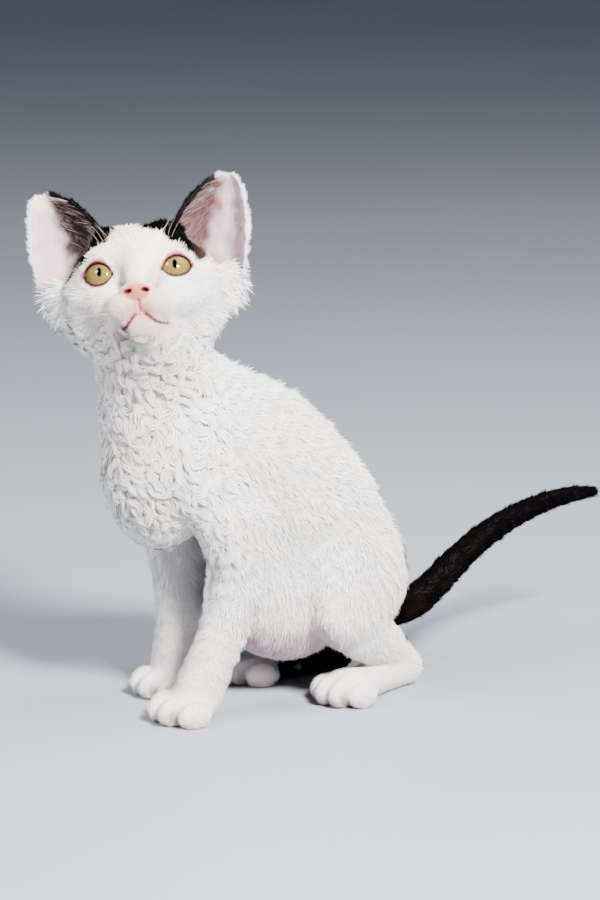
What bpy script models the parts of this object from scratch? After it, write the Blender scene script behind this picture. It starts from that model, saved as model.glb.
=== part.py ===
"""A life-size devon rex kitten, about three months old, in a low half sit.

Its head is raised and turned to its left, and its tail is held out behind it.
The kitten faces -Y, its left side is +X, and the floor is Z = 0. Its forms are balls and
lofted limbs blended together as distances on a grid, which Blender's openvdb turns to a skin.
That skin is then parted with thin cuts. Sizes in the tables are millimetres, and MM makes
them metres.
"""

import math
import random

import bmesh
import bpy
import numpy as np
import openvdb
from mathutils import Matrix, Vector
from mathutils.bvhtree import BVHTree

MM = 0.001
FAR = 40.0

# Driving sizes, in millimetres.
PART_GAP = 0.3
TRUNK_VOXEL = 1.5
HEAD_VOXEL = 0.8
PAW_VOXEL = 0.8
TRUNK_TRIANGLES = 2800
HEAD_TRIANGLES = 3300
PAW_TRIANGLES = 360
TAIL_VOXEL = 1.2
TAIL_TRIANGLES = 520
REGION_VOXEL = 2.0
REGION_TRIANGLES = 160
LEG_GROW = 3.0
ORIGIN_SHIFT = (-2.5, -106.2, 0.0)

# Where the body is parted: heights of the level cuts, and points and normals of the others.
HEAD_CUT = 158.0
FOREPAW_CUT = 12.0
HINDPAW_CUT = 16.0
TAIL_CUTS = (125.0, 166.0, 210.0)
TRUNK_CUTS = [
    ((2.0, 8.0, 134.0), (0.0, -0.30, 0.95)),
    ((6.0, 30.0, 68.0), (0.0, -0.80, 0.60)),
    ((8.0, 84.0, 60.0), (0.0, -0.94, 0.34)),
]

# The curls: rounded clumps set close over the chest and throat, from a few sizes.
CURLY = True
CURL_SIZE = (3.9, 3.3, 5.6)
CURL_LIFT = 0.3
CURL_ROW = 8.6
CURL_STEP = 17.5
CURL_TOP = 153.0
CURL_BOTTOM = 76.0
CURL_RIGHT = -75.0
CURL_LEFT = 72.0
CURL_AXIS = (2.0, 14.0)

# Where the head sits, and how it is turned: raised, turned to its left, and tilted.
SKULL_CENTRE = (5.0, -4.8, 184.9)
HEAD_TURN = 54.5
HEAD_RAISE = 25.0
HEAD_TILT = 7.1

# Head sizes are in its own axes: left, back and up from the skull's centre.
EYE_RADIUS = 8.6
EYE_PLACE = (14.9, -12.9, 3.0)
EYE_SPLAY = 15.0
LID_THICKNESS = 1.3
LID_HALF_WIDTH = 6.9
LID_UPPER = 5.6
LID_LOWER = 4.6
NOSTRIL_PLACE = (4.0, -36.0, -11.0)
MOUTH_WIDTH = 1.0
MOUTH_LINE = [
    (0.0, -37.0, -14.5),
    (0.0, -36.0, -19.4),
    (3.0, -35.0, -20.2),
    (6.0, -33.0, -22.3),
    (9.4, -29.5, -24.6),
    (13.0, -26.0, -25.2),
    (16.7, -22.0, -25.0),
]

# An ear's cross-sections from its pocket to its tip: inner edge, outer edge, depth of the cup.
EAR_SECTIONS = [
    ((30.0, -1.0, -1.0), (37.0, 6.5, -7.0), 5.0),
    ((27.5, -4.0, 5.0), (40.5, 6.5, -3.0), 11.5),
    ((22.5, -4.0, 14.0), (43.0, 5.5, 6.0), 16.0),
    ((16.0, 0.5, 25.0), (45.4, 4.5, 17.0), 17.0),
    ((17.8, 4.0, 33.0), (46.6, 5.0, 28.0), 15.0),
    ((22.8, 6.0, 40.5), (46.4, 6.5, 37.0), 11.5),
    ((28.2, 7.5, 46.2), (45.4, 8.0, 44.3), 8.0),
    ((33.6, 9.0, 50.2), (43.9, 9.2, 49.2), 4.5),
    ((38.0, 10.0, 52.3), (42.0, 10.0, 51.7), 1.6),
]
EAR_BULGE = (-0.18, 0.98, 0.05)
EAR_WALL = 1.3
EAR_ROWS = 4
EAR_COLUMNS = 10

# The head's forms: centre, radii, blend. A form with a centre off the middle is made twice.
HEAD_BALLS = [
    ((0.0, 5.0, 6.0), (24.0, 27.0, 24.0), 6.0),
    ((0.0, -8.0, 9.0), (18.0, 15.5, 15.0), 6.0),
    ((20.0, 2.0, 4.0), (12.0, 15.0, 15.0), 8.0),
    ((20.5, -4.0, -4.0), (11.5, 15.5, 12.0), 6.0),
    ((18.5, 5.0, -12.5), (13.0, 15.0, 12.0), 7.0),
    ((13.0, -16.0, -9.0), (9.5, 10.0, 8.5), 5.0),
    ((13.5, -14.0, 11.5), (9.0, 8.5, 5.0), 4.0),
    ((12.0, 3.5, 21.5), (9.5, 9.0, 9.5), 6.0),
    ((30.5, 4.0, -4.0), (8.8, 9.0, 9.3), 6.0),
    ((35.3, 5.2, 3.0), (6.2, 5.6, 7.5), 4.0),
    ((0.0, -10.0, -20.0), (14.0, 19.0, 9.0), 6.0),
    ((6.3, -26.0, -15.5), (8.4, 9.6, 7.4), 2.6),
    ((0.0, -25.5, -24.5), (7.6, 7.8, 5.6), 2.6),
    ((0.0, -32.6, -10.6), (5.2, 3.6, 3.9), 1.6),
    ((4.1, -31.6, -10.6), (3.2, 3.6, 3.0), 1.4),
]
NOSE_BRIDGE = [
    (0.0, -14.0, 9.0, 11.0, 9.0),
    (0.0, -22.0, 3.0, 6.6, 7.0),
    (0.0, -27.5, -3.5, 5.2, 5.4),
    (0.0, -31.0, -8.4, 4.9, 4.4),
]
THROAT = [
    (0.0, -12.0, -20.0, 15.0, 12.0),
    (0.0, 2.0, -24.0, 21.0, 16.0),
    (0.0, 14.0, -30.0, 22.0, 18.0),
]

# Trunk sections, tail end first: centre x, y, z, half width, half height.
SPINE = [
    (9.0, 108.0, 42.0, 15.0, 15.0),
    (9.0, 97.0, 54.0, 23.0, 24.0),
    (9.0, 82.0, 70.0, 29.0, 32.0),
    (8.0, 65.0, 88.0, 31.0, 37.0),
    (6.0, 47.0, 106.0, 30.0, 37.0),
    (3.0, 29.0, 121.0, 28.0, 31.5),
    (2.0, 13.0, 137.0, 25.0, 26.5),
    (2.0, 3.0, 154.0, 22.5, 22.0),
    (4.0, 0.0, 172.0, 21.0, 20.0),
]
TRUNK_BALLS = [
    ((9.0, 64.0, 47.0), (28.0, 34.0, 31.0), 14.0),
    ((1.0, 4.0, 108.0), (25.0, 24.0, 36.0), 14.0),
    ((2.0, -1.0, 136.0), (21.0, 18.0, 22.0), 10.0),
    ((9.0, 98.0, 42.0), (24.0, 20.0, 22.0), 10.0),
    ((22.0, 14.0, 112.0), (12.0, 19.0, 22.0), 10.0),
    ((-18.0, 14.0, 112.0), (12.0, 19.0, 22.0), 10.0),
]

# Limb sections, top first: centre x, y, z, half width, half depth. The left limbs are nearest.
FORELEG_LEFT = [
    (25.0, 20.0, 100.0, 12.0, 17.0),
    (27.0, 27.0, 82.0, 13.0, 16.5),
    (27.0, 30.0, 62.0, 12.5, 14.5),
    (26.0, 24.0, 42.0, 11.4, 12.2),
    (25.5, 15.0, 24.0, 10.6, 11.2),
    (25.0, 9.0, 10.0, 11.0, 11.4),
]
FORELEG_RIGHT = [
    (-21.0, 18.0, 100.0, 12.0, 17.0),
    (-22.0, 23.0, 82.0, 13.0, 16.5),
    (-21.0, 26.0, 62.0, 12.5, 14.5),
    (-19.0, 25.5, 42.0, 11.4, 12.2),
    (-18.0, 24.0, 24.0, 10.6, 11.2),
    (-17.5, 22.5, 10.0, 11.0, 11.4),
]
THIGH_LEFT = [
    (22.0, 96.0, 66.0, 14.0, 22.0),
    (32.0, 89.0, 56.0, 14.5, 25.0),
    (38.0, 78.0, 46.0, 12.0, 20.0),
    (40.5, 71.0, 39.0, 9.5, 12.0),
]
SHANK_LEFT = [
    (39.0, 76.0, 37.0, 10.0, 13.0),
    (34.0, 92.0, 28.0, 9.6, 13.0),
    (27.0, 107.0, 18.0, 8.2, 10.0),
    (21.5, 116.0, 10.0, 7.4, 8.4),
]
THIGH_RIGHT = [
    (-6.0, 96.0, 66.0, 14.0, 24.0),
    (-16.0, 86.0, 56.0, 14.5, 27.0),
    (-23.0, 72.0, 46.0, 12.0, 20.0),
    (-25.5, 65.0, 39.0, 9.5, 12.0),
]
SHANK_RIGHT = [
    (-24.0, 70.0, 37.0, 10.0, 13.0),
    (-21.0, 84.0, 28.0, 9.6, 13.0),
    (-17.0, 97.0, 18.0, 8.2, 10.0),
    (-14.0, 105.0, 10.0, 7.4, 8.4),
]

# Paws: ankle or heel, middle toes, width, and whether it is a hind paw.
FOREPAW_LEFT = ((25.0, 9.0), (25.0, -4.0), 32.0, False)
FOREPAW_RIGHT = ((-17.5, 23.5), (-18.0, 11.0), 31.0, False)
HINDPAW_LEFT = ((23.0, 118.5), (38.0, 72.0), 29.0, True)
HINDPAW_RIGHT = ((-14.0, 106.0), (-17.5, 57.0), 29.0, True)

# A toe's place across the paw (in shares of its width), its reach ahead, and its radii.
TOES = [
    (-0.39, -4.6, (4.9, 8.2, 6.4)),
    (-0.135, 0.0, (5.3, 9.2, 7.2)),
    (0.135, 0.0, (5.3, 9.2, 7.2)),
    (0.39, -4.6, (4.9, 8.2, 6.4)),
]

# Colours and roughness of the nodes: white coat, black tail and right hind leg, amber eyes.
COLOURS = {
    "coat": ((0.80, 0.78, 0.76), 0.9),
    "ear_left": ((0.62, 0.42, 0.38), 0.8),
    "ear_right": ((0.62, 0.42, 0.38), 0.8),
    "eye_left": ((0.42, 0.27, 0.06), 0.1),
    "eye_right": ((0.42, 0.27, 0.06), 0.1),
    "hindleg_right": ((0.02, 0.018, 0.018), 0.9),
    "tail_root": ((0.02, 0.018, 0.018), 0.9),
    "tail_middle": ((0.02, 0.018, 0.018), 0.9),
    "tail_tip": ((0.02, 0.018, 0.018), 0.9),
}

# Tail sections, root first: centre x, y, z, half width, half height.
TAIL = [
    (8.0, 104.0, 38.0, 11.0, 11.0),
    (7.5, 118.0, 32.0, 9.5, 9.5),
    (6.0, 133.0, 32.0, 8.0, 8.0),
    (4.5, 146.0, 38.5, 7.4, 7.4),
    (2.0, 159.0, 46.5, 7.0, 7.0),
    (-1.0, 174.0, 54.5, 6.5, 6.5),
    (-5.0, 194.0, 61.5, 5.9, 5.9),
    (-9.0, 216.0, 66.0, 5.1, 5.1),
    (-12.5, 236.0, 67.5, 4.3, 4.3),
    (-14.0, 249.0, 67.0, 3.2, 3.2),
]


def smooth_sections(sections, steps):
    """The sections with steps - 1 more between each two, on a Catmull-Rom curve."""
    rows = np.array(sections, float)
    ends = np.vstack([rows[0], rows, rows[-1]])
    found = []
    for before, start, end, after in zip(ends, ends[1:], ends[2:], ends[3:]):
        for t in np.arange(steps) / steps:
            found.append(
                0.5
                * (
                    2 * start
                    + (end - before) * t
                    + (2 * before - 5 * start + 4 * end - after) * t * t
                    + (3 * start - before - 3 * end + after) * t**3
                )
            )
    return [*found, rows[-1]]


def turned(radii, matrix):
    """Half the size of the box round an ellipsoid that is turned by a matrix."""
    return np.sqrt(((matrix * np.array(radii)) ** 2).sum(axis=1))


class Ball:
    """An ellipsoid, turned by a 3 x 3 matrix, that blends into what it is added to."""

    def __init__(self, centre, radii, blend=3.0, matrix=None):
        self.centre = np.array(centre, float)
        self.radii = np.array(radii, float)
        self.matrix = np.eye(3) if matrix is None else np.array(matrix)
        self.blend = blend
        reach = turned(radii, self.matrix) + 1.5 * blend + 3.0
        self.low = self.centre - reach
        self.high = self.centre + reach

    def distance(self, x, y, z):
        offset = (x - self.centre[0], y - self.centre[1], z - self.centre[2])
        unit = 0.0
        slope = 0.0
        for k in range(3):
            own = sum(self.matrix[j, k] * offset[j] for j in range(3)) / self.radii[k]
            unit = unit + own * own
            slope = slope + (own / self.radii[k]) ** 2
        unit = np.sqrt(unit)
        return unit * (unit - 1.0) / np.sqrt(slope + 1e-9)


class Limb:
    """A loft through elliptical sections, each given as centre, half width and half height."""

    def __init__(self, sections, blend=3.0, side=(1.0, 0.0, 0.0), steps=4, grow=0.0):
        self.rows = np.array(smooth_sections(sections, steps))
        self.rows[:, 3:5] += grow
        self.side = np.array(side, float)
        self.blend = blend
        reach = self.rows[:, 3:5].max() + 1.5 * blend + 3.0
        self.low = self.rows[:, :3].min(axis=0) - reach
        self.high = self.rows[:, :3].max(axis=0) + reach

    def distance(self, x, y, z):
        least = None
        for start, end in zip(self.rows, self.rows[1:]):
            line = end[:3] - start[:3]
            length = np.linalg.norm(line)
            along = line / length
            across = self.side - along * (self.side @ along)
            across /= np.linalg.norm(across)
            up = np.cross(along, across)
            offset = (x - start[0], y - start[1], z - start[2])
            run = sum(along[j] * offset[j] for j in range(3))
            share = np.clip(run / length, 0.0, 1.0)
            width = start[3] + share * (end[3] - start[3])
            height = start[4] + share * (end[4] - start[4])
            own = (
                sum(across[j] * offset[j] for j in range(3)) / width,
                sum(up[j] * offset[j] for j in range(3)) / height,
                (run - share * length) / np.minimum(width, height),
            )
            unit = np.sqrt(own[0] ** 2 + own[1] ** 2 + own[2] ** 2)
            slope = (own[0] / width) ** 2 + (own[1] / height) ** 2 + (own[2] / width) ** 2
            found = unit * (unit - 1.0) / np.sqrt(slope + 1e-9)
            least = found if least is None else np.minimum(least, found)
        return least


class Clay:
    """A grid of distances in millimetres, negative inside the body."""

    def __init__(self, low, high, voxel):
        self.low = np.array(low, float)
        self.voxel = voxel
        counts = np.ceil((np.array(high) - self.low) / voxel).astype(int) + 1
        self.field = np.full(counts, FAR, np.float32)

    def near(self, form):
        """The part of the grid that a form reaches, and the x, y and z of its points."""
        size = np.array(self.field.shape)
        start = np.clip(np.floor((form.low - self.low) / self.voxel).astype(int), 0, size)
        stop = np.clip(np.ceil((form.high - self.low) / self.voxel).astype(int), 0, size)
        part = tuple(slice(a, b) for a, b in zip(start, stop))
        lines = [
            (self.low[k] + self.voxel * np.arange(start[k], stop[k])).astype(np.float32)
            for k in range(3)
        ]
        return part, np.meshgrid(*lines, indexing="ij", sparse=True)

    def add(self, form):
        part, points = self.near(form)
        old = self.field[part]
        if old.size == 0:
            return
        new = form.distance(*points)
        mix = np.clip(1.0 - np.abs(old - new) / form.blend, 0.0, None)
        self.field[part] = np.minimum(old, new) - 0.25 * form.blend * mix * mix

    def carve(self, form):
        part, points = self.near(form)
        old = self.field[part]
        if old.size == 0:
            return
        new = -form.distance(*points)
        mix = np.clip(1.0 - np.abs(old - new) / form.blend, 0.0, None)
        self.field[part] = np.maximum(old, new) + 0.25 * form.blend * mix * mix

    def at(self, point):
        """The distance at one point, read between the grid's own points."""
        place = (np.array(point) - self.low) / self.voxel
        cell = np.clip(np.floor(place).astype(int), 0, np.array(self.field.shape) - 2)
        share = place - cell
        block = self.field[tuple(slice(c, c + 2) for c in cell)]
        for k in range(3):
            block = block[0] * (1.0 - share[k]) + block[1] * share[k]
        return float(block)

    def skin(self, name, triangles=None):
        """The mesh where the distance is zero, brought to a triangle count."""
        reach = 3.0 * self.voxel
        grid = openvdb.FloatGrid(reach)
        grid.copyFromArray(np.clip(self.field, -reach, reach))
        points, quads = grid.convertToQuads(0.0)
        mesh = bpy.data.meshes.new(name)
        mesh.from_pydata(MM * (points * self.voxel + self.low), [], quads)
        made = bpy.data.objects.new(name, mesh)
        bpy.context.scene.collection.objects.link(made)
        largest_surface(made)
        if triangles:
            thin_out(made, triangles)
        return made


def new_object(name, shape):
    """An object in the scene's own collection from a bmesh, which is freed."""
    mesh = bpy.data.meshes.new(name)
    shape.to_mesh(mesh)
    shape.free()
    made = bpy.data.objects.new(name, mesh)
    bpy.context.scene.collection.objects.link(made)
    return made


def settle(obj):
    """Puts the modified mesh in place of the object's own, and drops the modifiers."""
    graph = bpy.context.evaluated_depsgraph_get()
    graph.update()
    mesh = bpy.data.meshes.new_from_object(obj.evaluated_get(graph))
    obj.modifiers.clear()
    old = obj.data
    obj.data = mesh
    bpy.data.meshes.remove(old)
    return obj


def remove(*objects):
    for obj in objects:
        bpy.data.objects.remove(obj)


def thin_out(body, triangles):
    """Collapses edges until about that many triangles are left."""
    count = sum(len(face.vertices) - 2 for face in body.data.polygons)
    fewer = body.modifiers.new("fewer", "DECIMATE")
    fewer.ratio = min(1.0, triangles / count)
    fewer.use_collapse_triangulate = True
    settle(body)


def largest_surface(obj):
    """Keeps the largest closed surface of a mesh, and deletes what is loose."""
    shape = bmesh.new()
    shape.from_mesh(obj.data)
    bmesh.ops.remove_doubles(shape, verts=shape.verts, dist=0.5e-6)
    left = set(shape.verts)
    islands = []
    while left:
        found = {left.pop()}
        edge = list(found)
        while edge:
            near = {e.other_vert(v) for v in edge for e in v.link_edges} & left
            left -= near
            found |= near
            edge = list(near)
        islands.append(found)
    islands.sort(key=len)
    loose = [v for island in islands[:-1] for v in island]
    bmesh.ops.delete(shape, geom=loose, context="VERTS")
    shape.to_mesh(obj.data)
    shape.free()
    return obj


def combine(obj, other, operation, solver="EXACT"):
    """Applies one Boolean of obj with other, which stays."""
    boolean = obj.modifiers.new("combine", "BOOLEAN")
    boolean.operation = operation
    boolean.solver = solver
    boolean.object = other
    return settle(obj)


def copy_of(obj, name):
    made = bpy.data.objects.new(name, obj.data.copy())
    bpy.context.scene.collection.objects.link(made)
    return made


def grown(obj, distance):
    """A copy whose surface stands further out by that distance in millimetres."""
    made = copy_of(obj, obj.name + "_grown")
    push = made.modifiers.new("push", "DISPLACE")
    push.mid_level = 0.0
    push.strength = distance * MM
    return settle(made)


def sliced(obj, point, normal, keep_front, gap=PART_GAP):
    """Cuts a closed mesh at a plane, half a gap back from it, and closes the cut."""
    direction = Vector(normal).normalized()
    back = direction * (0.5 * gap if keep_front else -0.5 * gap)
    shape = bmesh.new()
    shape.from_mesh(obj.data)
    cut = bmesh.ops.bisect_plane(
        shape,
        geom=[*shape.verts, *shape.edges, *shape.faces],
        dist=1e-7,
        plane_co=MM * (Vector(point) + back),
        plane_no=direction,
        clear_inner=keep_front,
        clear_outer=not keep_front,
    )
    rim = [e for e in cut["geom_cut"] if isinstance(e, bmesh.types.BMEdge)]
    bmesh.ops.holes_fill(shape, edges=rim, sides=0)
    bmesh.ops.triangulate(shape, faces=[f for f in shape.faces if len(f.verts) > 4])
    shape.to_mesh(obj.data)
    shape.free()
    return largest_surface(obj)


def parted(whole, region, name):
    """Takes what lies in the region out of the whole as a node, with the gap between them."""
    node = copy_of(whole, name)
    combine(node, region, "INTERSECT")
    wider = grown(region, PART_GAP)
    combine(whole, wider, "DIFFERENCE")
    largest_surface(whole)
    remove(wider, region)
    return largest_surface(node)


def head_matrix():
    """The matrix from the head's own axes to the kitten's, in millimetres."""
    turn = Matrix.Rotation(math.radians(HEAD_TURN), 4, "Z")
    lift = Matrix.Rotation(math.radians(-HEAD_RAISE), 4, "X")
    tilt = Matrix.Rotation(math.radians(-HEAD_TILT), 4, "Y")
    return Matrix.Translation(SKULL_CENTRE) @ turn @ lift @ tilt


def head_axes():
    return np.array(head_matrix().to_3x3())


def from_head(point):
    """A point of the head's own axes, in the kitten's."""
    return np.array(head_matrix() @ Vector(point))


def head_ball(centre, radii, blend):
    return Ball(from_head(centre), radii, blend, head_axes())


def head_limb(sections, blend, steps=4):
    moved = [(*from_head(row[:3]), *row[3:]) for row in sections]
    return Limb(moved, blend, head_axes()[:, 0], steps)


def eye_centre(side):
    x, y, z = EYE_PLACE
    return from_head((side * x, y, z))


def eye_axes(side):
    """An eye's own axes, across, back and up, as columns in the kitten's."""
    splay = Matrix.Rotation(math.radians(side * EYE_SPLAY), 3, "Z")
    return head_axes() @ np.array(splay)


class LidOpening:
    """The almond between the lids, as a cone that widens from the eye's centre."""

    def __init__(self, side):
        self.centre = eye_centre(side)
        self.axes = eye_axes(side)
        self.side = side
        self.blend = 1.2
        self.low = self.centre - 2.2 * EYE_RADIUS
        self.high = self.centre + 2.2 * EYE_RADIUS

    def distance(self, x, y, z):
        offset = (x - self.centre[0], y - self.centre[1], z - self.centre[2])
        across, back, up = (
            sum(self.axes[j, k] * offset[j] for j in range(3)) for k in range(3)
        )
        scale = EYE_RADIUS / np.maximum(-back, 1.0)
        across = across * scale * self.side
        up = up * scale - 0.09 * across
        share = np.clip(1.0 - (across / LID_HALF_WIDTH) ** 2, 0.0, 1.0)
        upper = LID_UPPER * share**0.62
        lower = LID_LOWER * share**0.8
        inside = np.maximum(up - upper, -up - lower)
        inside = np.maximum(inside, np.abs(across) - LID_HALF_WIDTH)
        return np.where(back < -1.0, inside, FAR)


def body_forms():
    """Every soft form of the kitten but its ears, in the order in which they blend."""
    forms = [Limb(SPINE, 4.0)]
    forms += [Ball(*row) for row in TRUNK_BALLS]
    forms += [Limb(rows, 7.0) for rows in (FORELEG_LEFT, FORELEG_RIGHT)]
    forms += [Limb(rows, 9.0) for rows in (THIGH_LEFT, THIGH_RIGHT)]
    forms += [Limb(rows, 5.0) for rows in (SHANK_LEFT, SHANK_RIGHT)]
    forms.append(head_limb(THROAT, 8.0))
    for (x, y, z), radii, blend in HEAD_BALLS[:-4]:
        for side in (1.0, -1.0) if x else (1.0,):
            forms.append(head_ball((side * x, y, z), radii, blend))
    forms.append(head_limb(NOSE_BRIDGE, 4.0))
    for (x, y, z), radii, blend in HEAD_BALLS[-4:]:
        for side in (1.0, -1.0) if x else (1.0,):
            forms.append(head_ball((side * x, y, z), radii, blend))
    for side in (1.0, -1.0):
        forms.append(Ball(eye_centre(side), [EYE_RADIUS + LID_THICKNESS] * 3, 2.6))
    for place in (FOREPAW_LEFT, FOREPAW_RIGHT, HINDPAW_LEFT, HINDPAW_RIGHT):
        forms += paw_forms(*place)
    forms.append(Limb(TAIL[:3], 5.0))
    return forms


def paw_forms(heel, toes, width, hind):
    """A paw's forms: the foot from its ankle or heel, and four round toes side by side."""
    heel, toes = np.array(heel), np.array(toes)
    ahead = (toes - heel) / np.linalg.norm(toes - heel)
    across = np.array((-ahead[1], ahead[0]))
    turn = math.atan2(ahead[1], ahead[0]) - 0.5 * math.pi
    forms = []
    knuckles = toes - 7.5 * ahead
    axes = np.array(Matrix.Rotation(turn, 3, "Z"))
    forms.append(Ball((*knuckles, 6.6), (0.42 * width, 11.0, 7.6), 3.0, axes))
    if hind:
        sole = [
            (*heel, 7.6, 7.4, 7.9),
            (*(heel + 0.3 * (toes - heel)), 7.0, 7.6, 7.8),
            (*(heel + 0.6 * (toes - heel)), 6.9, 9.6, 7.8),
            (*(heel + 0.82 * (toes - heel)), 6.6, 11.4, 7.6),
        ]
        forms.append(Limb(sole, 3.0, (*across, 0.0)))
    for slot, reach, size in TOES:
        centre = toes + across * slot * width + ahead * reach
        own = np.array(Matrix.Rotation(turn - math.radians(16.0 * slot), 3, "Z"))
        forms.append(Ball((*centre, size[2] - 1.2), size, 1.6, own))
    return forms


def clay_of(low, high, voxel):
    """The forms blended on one grid, with the eyes' sockets and lids, nostrils and mouth."""
    clay = Clay(low, high, voxel)
    for form in body_forms():
        clay.add(form)
    for side in (1.0, -1.0):
        clay.carve(LidOpening(side))
        socket = Ball(eye_centre(side), [EYE_RADIUS + PART_GAP] * 3, 0.4)
        clay.carve(socket)
        x, y, z = NOSTRIL_PLACE
        clay.carve(Ball(from_head((side * x, y, z)), (1.9, 2.6, 1.1), 0.8, head_axes()))
        if SKULL_CENTRE[2] < clay.low[2] + voxel * clay.field.shape[2]:
            clay.carve(mouth_groove(clay, side))
    return clay


def mouth_groove(clay, side):
    """A thin tube that follows one half of the mouth's line along the skin."""
    found = []
    inside = from_head((0.0, -20.0, -18.0))
    for x, y, z in MOUTH_LINE:
        outside = from_head((side * x, y, z))
        step = (outside - inside) / np.linalg.norm(outside - inside)
        reach = 4.0
        while reach < 40.0 and clay.at(inside + reach * step) < 0.0:
            reach += 0.2
        found.append((*(inside + reach * step), MOUTH_WIDTH, MOUTH_WIDTH))
    return Limb(found, 1.0, head_axes()[:, 0], steps=3)


def ear_point(row, around):
    """A point of the cup on a section, around -1 at the inner edge to 1 at the outer one."""
    inner, outer, depth = row[:3], row[3:6], row[6]
    angle = 0.5 * math.pi * around * 1.06
    middle = 0.5 * (inner + outer)
    bulge = np.array(EAR_BULGE)
    return middle + 0.5 * (outer - inner) * math.sin(angle) + bulge * depth * math.cos(angle)


def ear(name, side, wall=EAR_WALL):
    """One large cupped ear: a curved sheet with thickness, open to the front."""
    table = [(*inner, *outer, depth) for inner, outer, depth in EAR_SECTIONS]
    shape = bmesh.new()
    rows = []
    for row in smooth_sections(table, EAR_ROWS // 2):
        points = [ear_point(row, 2.0 * k / EAR_COLUMNS - 1.0) for k in range(EAR_COLUMNS + 1)]
        places = [from_head((side * x, y, z)) for x, y, z in points]
        rows.append([shape.verts.new(MM * Vector(place)) for place in places])
    for row, following in zip(rows, rows[1:]):
        for k in range(EAR_COLUMNS):
            face = (row[k], row[k + 1], following[k + 1], following[k])
            shape.faces.new(face if side > 0 else face[::-1])
    made = new_object(name, shape)
    thick = made.modifiers.new("wall", "SOLIDIFY")
    thick.thickness = wall * MM
    thick.offset = 0.0
    return settle(made)


def eyeball(name, side, radius, segments=16):
    """One eye, a ball whose pole looks out between the lids."""
    shape = bmesh.new()
    bmesh.ops.create_uvsphere(
        shape, u_segments=segments, v_segments=segments // 2, radius=radius * MM
    )
    axes = Matrix(eye_axes(side).tolist()).to_4x4() @ Matrix.Rotation(0.5 * math.pi, 4, "X")
    place = Matrix.Translation(MM * Vector(eye_centre(side))) @ axes
    bmesh.ops.transform(shape, matrix=place, verts=shape.verts)
    return new_object(name, shape)


def leg_region(rows, grow):
    """A smooth solid a little larger than a leg, which parts it from the trunk."""
    limbs = [Limb(part, 6.0, grow=grow) for part in rows]
    low = np.min([limb.low for limb in limbs], axis=0)
    high = np.max([limb.high for limb in limbs], axis=0)
    clay = Clay(low, high, REGION_VOXEL)
    for limb in limbs:
        clay.add(limb)
    return clay.skin("region", REGION_TRIANGLES)


def curl(point, outward, down, size):
    """One rounded clump of coat: a small ball drawn out along the lie, its tip standing off."""
    width, thick, length = size
    across = down.cross(outward).normalized()
    lie = (down + outward * CURL_LIFT).normalized()
    face = across.cross(lie).normalized()
    axes = Matrix((across, face, lie)).transposed().to_4x4()
    shape = bmesh.new()
    bmesh.ops.create_uvsphere(shape, u_segments=6, v_segments=4, radius=1.0)
    scale = Matrix.Diagonal((width * MM, thick * MM, length * MM, 1.0))
    place = Matrix.Translation(point) @ axes @ scale
    bmesh.ops.transform(shape, matrix=place, verts=shape.verts)
    return new_object("curl", shape)


def curls_on(body):
    """The chest's and throat's curls, set in staggered rows and joined to the body."""
    draw = random.Random(7)
    tree = BVHTree.FromObject(body, bpy.context.evaluated_depsgraph_get())
    group = bpy.data.collections.new("curls")
    bpy.context.scene.collection.children.link(group)
    row = 0
    height = CURL_TOP
    while height > CURL_BOTTOM:
        turn = CURL_RIGHT + (0.5 * CURL_STEP if row % 2 else 0.0)
        while turn < CURL_LEFT:
            angle = math.radians(turn + draw.uniform(-3.0, 3.0))
            out = Vector((math.sin(angle), -math.cos(angle), 0.0))
            axis = Vector((CURL_AXIS[0], CURL_AXIS[1], height + draw.uniform(-1.5, 1.5)))
            hit, normal, _, _ = tree.ray_cast(MM * (axis + 80.0 * out), -out)
            turn += CURL_STEP
            if hit is None or normal.dot(out) < 0.25:
                continue
            swing = Matrix.Rotation(math.radians(draw.uniform(-70.0, 70.0)), 3, normal)
            down = Vector((0.0, 0.0, -1.0))
            down = (down - normal * down.dot(normal)).normalized()
            size = [s * draw.uniform(0.85, 1.2) for s in CURL_SIZE]
            made = curl(hit + 0.4 * MM * normal, normal, swing @ down, size)
            bpy.context.scene.collection.objects.unlink(made)
            group.objects.link(made)
        height -= CURL_ROW
        row += 1
    union = body.modifiers.new("coat", "BOOLEAN")
    union.operation = "UNION"
    union.operand_type = "COLLECTION"
    union.solver = "EXACT"
    union.collection = group
    settle(body)
    remove(*group.objects)
    bpy.data.collections.remove(group)
    return largest_surface(body)


def trunk_nodes(curly):
    """The trunk and legs, modelled whole and then parted, as a dict of nodes."""
    clay = clay_of((-48.0, -48.0, -2.0), (62.0, 135.0, 172.0), TRUNK_VOXEL)
    whole = clay.skin("trunk", TRUNK_TRIANGLES)
    whole = sliced(whole, (0.0, TAIL_CUTS[0], 0.0), (0.0, 1.0, 0.0), False)
    whole = sliced(whole, (0.0, 0.0, HEAD_CUT), (0.0, 0.0, 1.0), False)
    if curly:
        curls_on(whole)
        whole = sliced(whole, (0.0, 0.0, HEAD_CUT), (0.0, 0.0, 1.0), False)
    nodes = {}
    for name, rows, floor in (
        ("foreleg_left", [FORELEG_LEFT], FOREPAW_CUT),
        ("foreleg_right", [FORELEG_RIGHT], FOREPAW_CUT),
        ("hindleg_left", [THIGH_LEFT, SHANK_LEFT], HINDPAW_CUT),
        ("hindleg_right", [THIGH_RIGHT, SHANK_RIGHT], HINDPAW_CUT),
    ):
        node = parted(whole, leg_region(rows, LEG_GROW), name)
        nodes[name] = sliced(node, (0.0, 0.0, floor), (0.0, 0.0, 1.0), True)
    names = ("neck", "chest", "belly", "rump")
    for i, name in enumerate(names):
        node = copy_of(whole, name)
        if i > 0:
            node = sliced(node, *TRUNK_CUTS[i - 1], False)
        if i < len(TRUNK_CUTS):
            node = sliced(node, *TRUNK_CUTS[i], True)
        nodes[name] = node
    remove(whole)
    return nodes


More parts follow.
